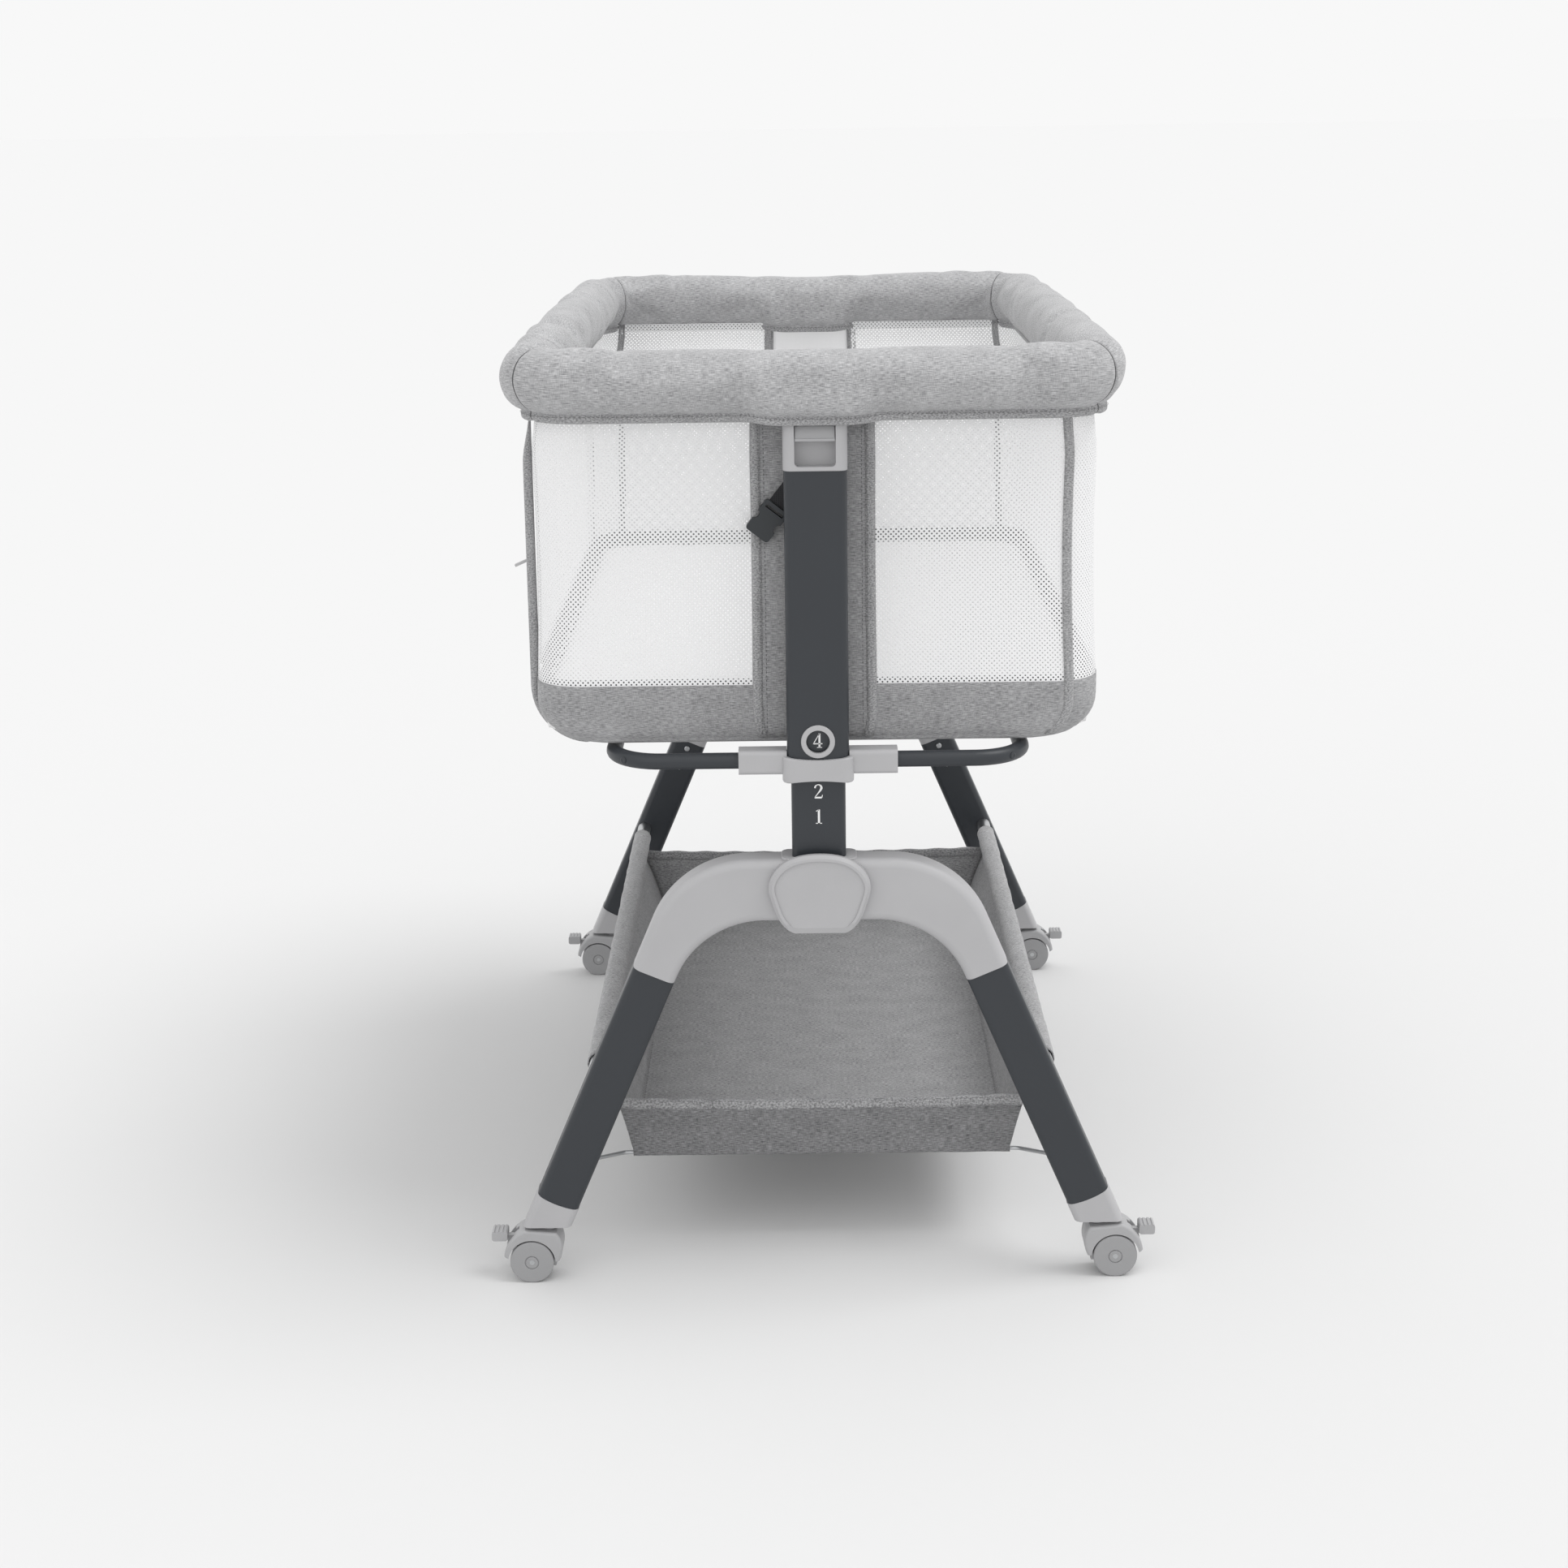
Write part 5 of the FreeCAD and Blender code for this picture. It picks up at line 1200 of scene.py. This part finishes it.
    def _zips(self) -> None:
        """Zip chains and the folded strips beside them."""
        for end, sign in (("front", -1.0), ("rear", 1.0)):
            bpy.ops.object.select_all(action="DESELECT")
            bpy.ops.mesh.primitive_cube_add(size=1.0, location=(0, 0, 0))
            tooth = bpy.context.active_object
            tooth.scale = (0.0012, 0.0034, 0.0011)
            settle(tooth)
            bevelled(tooth, 0.0003, 1)
            base = tooth.data.copy()
            teeth = []
            for i in range(self.teeth):
                z = 0.5850 + self.tooth_pitch * i
                copy = place_new("tooth", base.copy())
                slip = 0.0007 if i % 2 else -0.0007
                x = -self.outline(z).half_x
                copy.data.transform(Matrix.Translation((x, sign * (self.drop_half + self.zip_out) + slip, z)))
                teeth.append(copy)
            bpy.data.objects.remove(tooth)
            chain = joined(teeth, "zip_chain_" + end)
            dress(chain, Finish.TEETH)
            hand_over(chain, "bed", "zip_metal")
            self._fold(end, sign)

    def _fold(self, end: str, sign: float) -> None:
        """Fold of cloth that stands out beside a zip and turns in under the body."""
        r = self.lower_r + 0.012
        line = [(-self.half_x + 0.0020, k) for k in np.linspace(0.8300, 0.5700, 30)]
        centre = (-self.half_x + 0.0020 + r, 0.5230 + r - 0.0015)
        line += [(centre[0] - r * math.cos(t), centre[1] - r * math.sin(t))
                 for t in np.linspace(0.10, math.pi / 2, 14)]
        line += [(centre[0] + k, centre[1] - r) for k in (0.010, 0.022)]
        line = np.array(line)
        ahead = tangents(line)
        out = np.column_stack([ahead[:, 1], -ahead[:, 0]])
        run = arc_lengths(line)
        grow = ease(run / 0.05) * ease((run[-1] - run) / 0.03)
        y0 = sign * (self.drop_half + self.fold_out)
        turns = np.linspace(0, math.tau, 17)[:-1]
        grid = np.zeros((len(line), 16, 3))
        for i in range(len(line)):
            proud, half = 0.0016 + 0.0072 * grow[i], 0.0042 + 0.0016 * grow[i]
            d = proud * (0.5 + 0.5 * np.cos(turns)) + 0.0002
            grid[i, :, 0] = line[i, 0] + out[i, 0] * d
            grid[i, :, 2] = line[i, 1] + out[i, 1] * d
            grid[i, :, 1] = y0 + half * np.sin(turns)
        uv = spread_uv(np.linspace(0, 0.030, 17)[None, :], run[:, None])
        fold = lay_grid("zip_fold_" + end, grid, uv, closed=True)
        shade_soft(fold)
        close_ends(fold, len(line), 16)
        dress(fold, Finish.BINDING)
        hand_over(fold, "bed", "shell_fabric")

    def build(self) -> None:
        """Make the whole body."""
        self.trough()
        self.walls()


# ================================================================ mattress and board
@dataclass
class Bedding:
    """Mattress with a sewn edge, on a stiff board."""

    half_x: float = 0.2570
    half_y: float = 0.3890
    corner: float = 0.0390
    bottom: float = 0.5334
    top: float = 0.5678
    lower_r: float = 0.0200

    def mattress(self) -> None:
        """Crowned mattress, rounded along its lower sides."""
        bpy.ops.object.select_all(action="DESELECT")
        middle = (self.bottom + self.top) / 2
        bpy.ops.mesh.primitive_cube_add(size=2.0, location=(0, 0, middle))
        pad = bpy.context.active_object
        pad.name = "mattress_pad"
        pad.scale = (self.half_x, self.half_y, (self.top - self.bottom) / 2)
        settle(pad)
        select_only(pad)
        work = bmesh.new()
        work.from_mesh(pad.data)
        upright = [e for e in work.edges if abs(e.verts[0].co.z - e.verts[1].co.z) > 0.01]
        bmesh.ops.bevel(work, geom=upright, offset=self.corner, segments=6, affect="EDGES", profile=0.5)
        low = [e for e in work.edges
               if all(v.co.z < middle and abs(v.co.x) > self.half_x - 0.001 for v in e.verts)]
        bmesh.ops.bevel(work, geom=low, offset=self.lower_r, segments=4, affect="EDGES", profile=0.5)
        rim = [e for e in work.edges
               if all(v.co.z > self.top - 0.0001 for v in e.verts) and len(e.link_faces) == 2
               and abs(e.link_faces[0].normal.z - e.link_faces[1].normal.z) > 0.5]
        bmesh.ops.bevel(work, geom=rim, offset=0.006, segments=3, affect="EDGES", profile=0.5)
        bmesh.ops.triangulate(work, faces=work.faces)
        work.to_mesh(pad.data)
        work.free()
        modified(pad, "REMESH", mode="VOXEL", voxel_size=0.0060)
        co = coords(pad.data)
        held = co[:, 2] < self.bottom + 0.004
        puff(pad, held, 0.6, 0.0016, 0.006)
        co = coords(pad.data)
        co[:, 2] += ripple(co[:, 0], co[:, 1], 0.16, SEED + 11) * 0.0005 * (co[:, 2] > middle)
        put_coords(pad.data, co)
        shade_soft(pad)
        dress(pad, Finish.MATTRESS)
        hand_over(pad, "bed", "mattress_fabric", "mattress")

    def piping(self) -> None:
        """Corded seam round the mattress's upper edge."""
        ring = Outline(self.half_x + 0.0008, self.half_y + 0.0008, self.corner)
        points, normals = ring.at(ring.stations(0.0, 9.0, 0.010))
        points, normals = points[:-1], normals[:-1]
        turns = np.linspace(0, math.tau, 9)[:-1]
        grid = np.zeros((8, len(points), 3))
        for i, t in enumerate(turns):
            grid[i, :, :2] = points + normals * (0.0013 * math.cos(t))
            grid[i, :, 2] = self.top - 0.0070 + 0.0013 * math.sin(t)
        grid = np.concatenate([grid, grid[:1]])
        uv = spread_uv(np.linspace(0, 2.5, len(points) + 1)[None, :], np.linspace(0, 0.008, 9)[:, None])
        cord = lay_grid("mattress_piping", grid, uv, closed=True)
        face_outwards(cord)
        shade_soft(cord)
        dress(cord, Finish.MATTRESS)
        hand_over(cord, "bed", "mattress_fabric")

    def build(self) -> None:
        """Make the bedding."""
        self.mattress()
        self.piping()


# ================================================================ basket
@dataclass
class Basket:
    """Cloth basket hung from the two side tubes."""

    tube_x: float = 0.2160
    tube_z: float = 0.1970
    sleeve_r: float = 0.0103
    floor_z: float = 0.0962
    floor_half: float = 0.1850
    half_y: float = 0.3440
    side_high: float = 0.0940
    front_top: float = 0.1500
    rear_top: float = 0.1860
    bind: float = 0.0115

    def side_x(self, z: float) -> float:
        """Half width of the basket at a height."""
        share = (z - self.floor_z) / (self.tube_z - self.floor_z)
        slope = (self.tube_x + 0.0040 - self.floor_half) * share
        return self.floor_half + slope - 0.0035 * math.sin(math.pi * share)

    def sling(self) -> None:
        """Floor and sides in one hanging sheet, with sewn folds at the floor's edges."""
        rise = np.linspace(1, 0, 15)
        heights = self.floor_z + rise * self.side_high
        line = [(-self.side_x(z), z) for z in heights]
        line += [(x, self.floor_z) for x in np.linspace(-self.floor_half, self.floor_half, 47)[1:-1]]
        line += [(-x, z) for x, z in line[14::-1]]
        line = np.array(line)
        rows = np.linspace(-self.half_y, self.half_y, 91)
        grid = np.zeros((len(rows), len(line), 3))
        grid[:, :, 0] = line[None, :, 0]
        grid[:, :, 1] = rows[:, None]
        grid[:, :, 2] = line[None, :, 1]
        x, y, z = grid[:, :, 0], grid[:, :, 1], grid[:, :, 2]
        on_floor = ease((self.floor_half - 0.004 - np.abs(x)) / 0.03) * (z < self.floor_z + 0.002)
        sag = 0.0016 * np.cos(x / self.floor_half * math.pi / 2) * np.cos(y / self.half_y * math.pi / 2)
        creases = 0.0005 * ripple(x, y * 0.8, 0.20, SEED + 20) + 0.00018 * ripple(x, y, 0.05, SEED + 21)
        grid[:, :, 2] += on_floor * (creases - sag + 0.0005)
        on_side = ease((z - self.floor_z - 0.004) / 0.02) * ease((self.floor_z + 0.090 - z) / 0.02)
        on_side *= ease((self.half_y - np.abs(y)) / 0.05)
        grid[:, :, 0] += np.sign(x) * on_side * 0.0016 * ripple(y, z * 0.7, 0.14, SEED + 22)
        sling = lay_grid("basket_sling", grid, spread_uv(arc_lengths(line)[None, :], rows[:, None]))
        flip(sling)
        sling = thicken(sling, 0.0016, 1.0)
        self._hand(sling, (0.60, 2 * self.half_y), Finish.BASKET_CLOTH, ("basket",))

    def _hand(self, obj: bpy.types.Object, flat: tuple[float, float], kind: Finish,
              nodes: tuple = ()) -> None:
        """Dress and hand over one sheet of the basket."""
        dress(obj, kind)
        shade_soft(obj)
        hand_over(obj, "stand", "heather_fabric", *nodes)

    def sleeve(self, side: str, sign: float) -> None:
        """Sleeve round a side tube, gathered a little along its seam."""
        turns = np.linspace(0, math.tau, 25)[:-1]
        reach = self.half_y + 0.022
        rows = np.linspace(-reach, reach, 93)
        grid = np.zeros((len(rows), 24, 3))
        for i, y in enumerate(rows):
            r = self.sleeve_r + 0.0003 + 0.0005 * ripple(turns * 0.012, np.full(24, y), 0.05, SEED + 30)
            drop = 0.0035 * np.maximum(0.0, -np.sin(turns)) ** 3
            grid[i, :, 0] = sign * (self.tube_x + r * np.cos(turns))
            grid[i, :, 1] = y
            grid[i, :, 2] = self.tube_z + r * np.sin(turns) - drop
        uv = spread_uv(np.linspace(0, math.tau * self.sleeve_r, 25)[None, :], rows[:, None])
        sleeve = lay_grid("basket_sleeve_" + side, grid, uv, closed=True)
        if sign > 0:
            flip(sleeve)
        sleeve = thicken(sleeve, 0.0013, -1.0)
        self._hand(sleeve, (0.07, 2 * reach), Finish.BASKET_CLOTH)

    def end_wall(self, end: str, sign: float, top: float) -> None:
        """Upright wall at one end, with a bound upper edge."""
        heights = np.linspace(self.floor_z - 0.0068, top, 20)
        across = np.linspace(-1, 1, 61)
        grid = np.zeros((len(heights), 61, 3))
        for i, z in enumerate(heights):
            half = self.side_x(max(z, self.floor_z)) + 0.0010
            share = max(0.0, (z - self.floor_z) / (top - self.floor_z))
            droop = 0.0030 * (1 - across ** 2) * share
            lean = 0.0012 * np.cos(across * math.pi / 2) * math.sin(math.pi * share)
            grid[i, :, 0] = across * half
            waves = 0.0008 * ripple(across * 0.19, np.full(61, z), 0.07, SEED + 40)
            grid[i, :, 1] = sign * (self.half_y + 0.0002 + lean) + waves
            grid[i, :, 2] = z - droop
        uv = spread_uv(across[None, :] * self.floor_half, heights[:, None])
        wall = lay_grid("basket_wall_" + end, grid, uv)
        if sign > 0:
            flip(wall)
        wall = thicken(wall, 0.0014, 0.0)
        # The front wall gets the darker copy of the basket cloth, painted shade; the rear wall gets the plain
        # cloth.
        kind = Finish.PAINTED_SHADE_BASKET_CLOTH if sign < 0 else Finish.BASKET_CLOTH
        self._hand(wall, (2 * self.floor_half + 0.02, top - self.floor_z), kind)
        turns = np.linspace(0, math.tau, 15)[:-1]
        grid = np.zeros((61, 14, 3))
        half = self.side_x(top - self.bind / 2)
        for i, k in enumerate(across):
            z = top - self.bind / 2 + 0.0006 - 0.0030 * (1 - k * k)
            thick = 0.0019 + 0.0003 * math.sin(k * 61.0)
            up = np.sin(turns)
            grid[i, :, 0] = k * half
            grid[i, :, 1] = sign * (self.half_y + 0.0004) + thick * np.cos(turns)
            grid[i, :, 2] = z + self.bind / 2 * np.sign(up) * np.abs(up) ** 0.55 + 0.0006 * math.sin(k * 37.0)
        uv = spread_uv(across[:, None] * self.floor_half, np.linspace(0, 2.4 * self.bind, 15)[None, :])
        edge = lay_grid("basket_binding_" + end, grid, uv, closed=True)
        close_ends(edge, 61, 14)
        self._hand(edge, (2 * half, 1.15 * self.bind), Finish.BINDING)
        rows = []
        for up in (0.30, -0.34):
            for face in (1.0, -1.0):
                z = top - self.bind / 2 + 0.0006 - 0.0030 * (1 - across ** 2) + up * self.bind
                y = np.full(61, sign * (self.half_y + 0.0004) + sign * face * 0.0018)
                line = np.column_stack([across * (half - 0.004), y, z])
                out = np.tile([0.0, sign * face, 0.0], (61, 1))
                rows.append(seam_stitches(line, out, BASKET_STITCH))
        hand_over(joined(rows, "basket_stitches_" + end), "stand", "heather_fabric")

    def floor_seams(self) -> None:
        """Sewn folds along both sides of the floor."""
        rows = []
        y = np.linspace(-self.half_y + 0.004, self.half_y - 0.004, 120)
        for sign in (1.0, -1.0):
            for inward, up in ((0.0030, 0.0012), (-0.0030, 0.0072)):
                line = np.column_stack([np.full(120, sign * (self.floor_half - inward)), y,
                                        np.full(120, self.floor_z + up)])
                out = np.tile([-sign * 0.5, 0.0, 0.86], (120, 1))
                rows.append(seam_stitches(line, out, FLOOR_STITCH))
        hand_over(joined(rows, "basket_floor_seams"), "stand", "heather_fabric")

    def build(self) -> None:
        """Make the basket."""
        self.floor_seams()
        self.sling()
        self.sleeve("left", -1.0)
        self.sleeve("right", 1.0)
        self.end_wall("front", -1.0, self.front_top)
        self.end_wall("rear", 1.0, self.rear_top)


# ================================================================ numbers
STROKES: dict[int, list[list[tuple[float, float, float]]]] = {
    1: [[(0.32, 0.0, 0.13), (0.32, 0.99, 0.13)], [(0.34, 0.98, 0.04), (0.15, 0.86, 0.05)],
        [(0.13, 0.022, 0.05), (0.51, 0.022, 0.05)]],
    2: [[(0.09, 0.72, 0.10), (0.12, 0.86, 0.10), (0.22, 0.95, 0.06), (0.35, 0.96, 0.07), (0.46, 0.88, 0.12),
         (0.50, 0.74, 0.14), (0.44, 0.58, 0.12), (0.28, 0.36, 0.06), (0.09, 0.09, 0.05)],
        [(0.07, 0.06, 0.11), (0.50, 0.06, 0.12)], [(0.51, 0.05, 0.05), (0.55, 0.25, 0.04)]],
    3: [[(0.10, 0.80, 0.09), (0.18, 0.93, 0.06), (0.32, 0.96, 0.06), (0.44, 0.87, 0.12), (0.46, 0.74, 0.13),
         (0.38, 0.60, 0.08), (0.24, 0.54, 0.05)],
        [(0.24, 0.54, 0.05), (0.40, 0.50, 0.08), (0.51, 0.34, 0.14), (0.48, 0.14, 0.12), (0.32, 0.03, 0.05),
         (0.16, 0.06, 0.07), (0.08, 0.18, 0.09)]],
    4: [[(0.40, 0.97, 0.05), (0.04, 0.30, 0.05)], [(0.02, 0.28, 0.07), (0.58, 0.28, 0.07)],
        [(0.40, 0.99, 0.12), (0.40, 0.02, 0.12)], [(0.25, 0.022, 0.05), (0.55, 0.022, 0.05)]],
    5: [[(0.13, 0.93, 0.12), (0.49, 0.93, 0.12)], [(0.13, 0.95, 0.05), (0.10, 0.54, 0.05)],
        [(0.10, 0.54, 0.05), (0.26, 0.62, 0.06), (0.43, 0.55, 0.12), (0.51, 0.34, 0.14), (0.44, 0.12, 0.11),
         (0.27, 0.03, 0.05), (0.13, 0.07, 0.08), (0.07, 0.18, 0.08)]],
    6: [[(0.46, 0.94, 0.05), (0.30, 0.88, 0.06), (0.15, 0.68, 0.11), (0.09, 0.38, 0.14), (0.14, 0.12, 0.11),
         (0.30, 0.03, 0.05), (0.46, 0.12, 0.11), (0.51, 0.31, 0.14), (0.45, 0.50, 0.11), (0.30, 0.58, 0.05),
         (0.16, 0.50, 0.05), (0.10, 0.38, 0.05)]],
    7: [[(0.07, 0.93, 0.12), (0.55, 0.93, 0.12)], [(0.07, 0.96, 0.04), (0.06, 0.76, 0.04)],
        [(0.53, 0.92, 0.05), (0.38, 0.58, 0.08), (0.28, 0.28, 0.12), (0.26, 0.02, 0.14)]],
}


@dataclass
class HeightNumbers:
    """White numbers of the seven settings on both lower posts."""

    tall: float = 0.0137
    wide: float = 0.0150
    pitch: float = 0.0241
    ring_z: float = 0.5351
    rest: int = 4
    face_y: float = 0.4315
    proud: float = 0.00012
    thick: float = 0.00022

    def digit(self, number: int) -> list[bpy.types.Object]:
        """Strokes of one digit, each a thin raised ribbon in the plane Z = 0."""
        made = []
        for stroke in STROKES[number]:
            dots = np.array(stroke)
            fine = np.linspace(0, len(dots) - 1, 1 + (len(dots) - 1) * (4 if len(dots) > 2 else 1))
            run = np.column_stack([np.interp(fine, range(len(dots)), dots[:, k]) for k in range(3)])
            if len(dots) > 2:
                for _ in range(2):
                    run[1:-1] = (run[:-2] + 2 * run[1:-1] + run[2:]) / 4
            ahead = tangents(run[:, :2])
            side = np.column_stack([-ahead[:, 1], ahead[:, 0]]) * run[:, 2:3] / 2
            left, right = run[:, :2] + side, run[:, :2] - side
            grid = np.zeros((len(run), 2, 3))
            for j, edge in enumerate((left, right)):
                grid[:, j, 0] = (edge[:, 0] - 0.31) * self.wide
                grid[:, j, 1] = (edge[:, 1] - 0.5) * self.tall
            made.append(lay_grid("stroke", grid, grid[:, :, :2]))
        return made

    def build(self) -> None:
        """Put all the numbers on both posts."""
        for end, sign in (("front", -1.0), ("rear", 1.0)):
            strokes = []
            for number in STROKES:
                z = self.ring_z + (number - self.rest) * self.pitch
                turn = Matrix.Rotation(math.pi / 2, 4, "X")
                if sign > 0:
                    turn = Matrix.Rotation(math.pi, 4, "Z") @ turn
                place = Matrix.Translation((0, sign * (self.face_y + self.proud), z)) @ turn
                for stroke in self.digit(number):
                    stroke.data.transform(place)
                    strokes.append(stroke)
            numbers = joined(strokes, "height_numbers_" + end)
            face_outwards(thicken(numbers, self.thick, 0.0))
            dress(numbers, Finish.PAINT)
            hand_over(numbers, "stand", "dark_tube")


# ================================================================ small metal trim
@dataclass
class Trim:
    """Rivet heads on the base tubes, and the webbing that holds the buckle."""

    head_r: float = 0.0034
    head_h: float = 0.0014
    bend_turn: float = 0.72
    bend_r: float = 0.0534
    bend: tuple[float, float, float] = (0.1445, 0.374, 0.5138)
    under: tuple[float, float, float] = (0.1905, 0.372, 0.50630)
    strap_turn: float = math.radians(38.0)
    strap_at: tuple[float, float, float] = (-0.0440, -0.40105, 0.7340)
    strap_run: tuple[float, float] = (0.0170, 0.0505)
    strap_half: float = 0.0098
    strap_thick: float = 0.0013

    def head(self, name: str, place: tuple[float, float, float], axis: str, sign: float) -> bpy.types.Object:
        """Domed rivet head with a small recess.

        Args:
            name: Its name.
            place: Centre of its foot.
            axis: Direction it faces, Y or Z.
            sign: Sense along that axis.

        Returns:
            The head.
        """
        bpy.ops.object.select_all(action="DESELECT")
        bpy.ops.mesh.primitive_cylinder_add(vertices=24, radius=self.head_r, depth=self.head_h)
        head = bpy.context.active_object
        bpy.ops.object.mode_set(mode="EDIT")
        bpy.ops.mesh.select_all(action="DESELECT")
        work = bmesh.from_edit_mesh(head.data)
        for face in work.faces:
            face.select = face.normal.z > 0.9
        bmesh.update_edit_mesh(head.data)
        bpy.ops.mesh.inset(thickness=self.head_r * 0.45, depth=self.head_h * 0.25)
        bpy.ops.mesh.inset(thickness=self.head_r * 0.12, depth=-self.head_h * 0.30)
        bpy.ops.object.mode_set(mode="OBJECT")
        bevelled(head, 0.0003, 2)
        turn = Matrix.Identity(4)
        if axis == "Y":
            turn = Matrix.Rotation(-sign * math.pi / 2, 4, "X")
        elif sign < 0:
            turn = Matrix.Rotation(math.pi, 4, "X")
        head.data.transform(Matrix.Translation(place) @ turn)
        head.name = name
        return smooth(head)

    def build(self) -> None:
        """Make the heads on the base tubes."""
        heads = []
        x, y, z = self.bend
        for sx in (-1, 1):
            for sy in (-1, 1):
                head = self.head("head", (0, 0, 0), "Y", sy)
                turn = Matrix.Rotation(-sx * sy * self.bend_turn, 4, "Z")
                out = self.bend_r * Vector((sx * math.sin(self.bend_turn), sy * math.cos(self.bend_turn), 0))
                head.data.transform(Matrix.Translation(Vector((sx * x, sy * y, z)) + out) @ turn)
                low = (sx * self.under[0], sy * self.under[1], self.under[2])
                heads += [head, self.head("head", low, "Z", -1)]
        rivets = joined(heads, "base_tube_rivets")
        dress(rivets, Finish.DARK_TUBE)
        hand_over(rivets, "bed", "dark_tube")
        self.webbing()

    def webbing(self) -> None:
        """Ribbed webbing from behind the post down to the buckle."""
        along = np.array([math.sin(self.strap_turn), math.cos(self.strap_turn)])
        across = np.array([along[1], -along[0]])
        run, share = np.linspace(*self.strap_run, 24), np.linspace(-self.strap_half, self.strap_half, 9)
        x, y, z = self.strap_at
        grid = np.zeros((24, 9, 3))
        plan = along[None, None, :] * run[:, None, None] + across[None, None, :] * share[None, :, None]
        grid[:, :, 0] = x + plan[:, :, 0]
        grid[:, :, 2] = z + plan[:, :, 1]
        curl = 0.0002 * np.cos(share / self.strap_half * math.pi)[None, :]
        grid[:, :, 1] = y - (curl + 0.0003 * np.sin(run * 180.0)[:, None])
        strap = lay_grid("buckle_webbing", grid, spread_uv(share[None, :], run[:, None]))
        dress(strap, Finish.WEBBING)
        strap = smooth(thicken(strap, self.strap_thick, 0.0))
        hand_over(strap, "bed", "webbing", "strap")


# ================================================================ dressing the frame
NODE_FINISH: list[tuple[tuple[str, ...], Finish]] = [
    (("arch_", "foot_cap", "collar_", "latch_housing", "hub_cover", "window_ring"), Finish.GREY_PLASTIC),
    (("caster_fork", "brake_pedal"), Finish.CASTER_PLASTIC),
    (("caster_wheels",), Finish.WHEEL),
    (("latch_trigger",), Finish.TRIGGER),
    (("leg_front", "leg_rear", "upper_post", "lower_post", "base_tube"), Finish.DARK_TUBE),
    (("side_tube", "caster_axle", "lock_pins", "basket_rod", "leg_rivets"), Finish.STEEL),
    (("rail_tube", "side_rail_tube"), Finish.ALUMINIUM),
    (("base_board",), Finish.BOARD),
    (("zip_pull",), Finish.ZIP),
    (("strap",), Finish.WEBBING),
    (("buckle",), Finish.BUCKLE),
]


def dress_frame(nodes: dict[str, bpy.types.Object]) -> None:
    """Give every carried-over solid its finish.

    Args:
        nodes: The frame's solids by name.
    """
    for name, node in nodes.items():
        for starts, kind in NODE_FINISH:
            if name.startswith(starts):
                node.data.materials.clear()
                node.data.materials.append(finish_of(kind))
                LOG.info("%s dressed in %s", name, kind.name)
                break


# ================================================================ studio
@dataclass
class Studio:
    """Pale floor, soft light and the camera.

    A lamp has a name, a strength, and its spread, tilt and bearing in degrees.
    """

    tone: float = 0.939
    lens: float = 56.70
    sensor: float = 36.0
    shift_y: float = -0.0859
    place: tuple[float, float, float] = (-0.01688, -2.61273, 1.12122)
    pitch: float = 12.916
    roll: float = 0.784
    yaw: float = -0.342
    lamps: tuple = (("key", 1.25, 35.0, 27.0, 84.0), ("fill", 0.30, 60.0, 52.0, -25.0))

    def camera(self) -> None:
        """Camera at the viewing angle."""
        yaw, pitch, roll = (math.radians(a) for a in (self.yaw, self.pitch, self.roll))
        c, s, cp, sp = math.cos(yaw), math.sin(yaw), math.cos(pitch), math.sin(pitch)
        right, ahead, up = Vector((c, -s, 0)), Vector((cp * s, cp * c, -sp)), Vector((sp * s, sp * c, cp))
        cr, sr = math.cos(roll), math.sin(roll)
        right, up = cr * right - sr * up, sr * right + cr * up
        turn = Matrix((right, up, -ahead)).transposed().to_4x4()
        data = bpy.data.cameras.new("camera")
        data.sensor_width = self.sensor
        data.lens = self.lens
        data.shift_y = self.shift_y
        data.clip_end = 200.0
        camera = place_new("camera", data)
        camera.matrix_world = Matrix.Translation(self.place) @ turn
        bpy.context.scene.camera = camera

    def light(self) -> None:
        """Even surround, a broad key from above and a weak fill."""
        world = bpy.data.worlds.new("studio")
        bpy.context.scene.world = world
        world.use_nodes = True
        surround = world.node_tree.nodes["Background"]
        surround.inputs["Color"].default_value = (self.tone, self.tone, self.tone, 1.0)
        surround.inputs["Strength"].default_value = 1.0
        for name, power, spread, tilt, round_to in self.lamps:
            data = bpy.data.lights.new(name, "SUN")
            data.energy = power
            data.angle = math.radians(spread)
            lamp = place_new(name, data)
            lamp.rotation_euler = (math.radians(tilt), 0.0, math.radians(round_to))
        bpy.context.scene.view_settings.view_transform = "Standard"

    def floor(self) -> None:
        """Pale floor."""
        bpy.ops.object.select_all(action="DESELECT")
        bpy.ops.mesh.primitive_plane_add(size=120.0, location=(0, 0, 0))
        floor = bpy.context.active_object
        floor.name = "floor"
        dress(floor, Finish.PAPER)

    def build(self) -> None:
        """Set up the studio."""
        self.camera()
        self.light()
        self.floor()


def main() -> None:
    """Build every sub-assembly in order."""
    logging.basicConfig(level=logging.INFO, format="%(name)s %(message)s")
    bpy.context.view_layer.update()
    Studio().build()
    dress_frame(frame["nodes"])
    for part in (RailPadding(), BedBody(), Bedding(), Basket(), HeightNumbers(), Trim()):
        part.build()
        LOG.info("%s done", type(part).__name__)


if __name__ == "__main__":
    main()
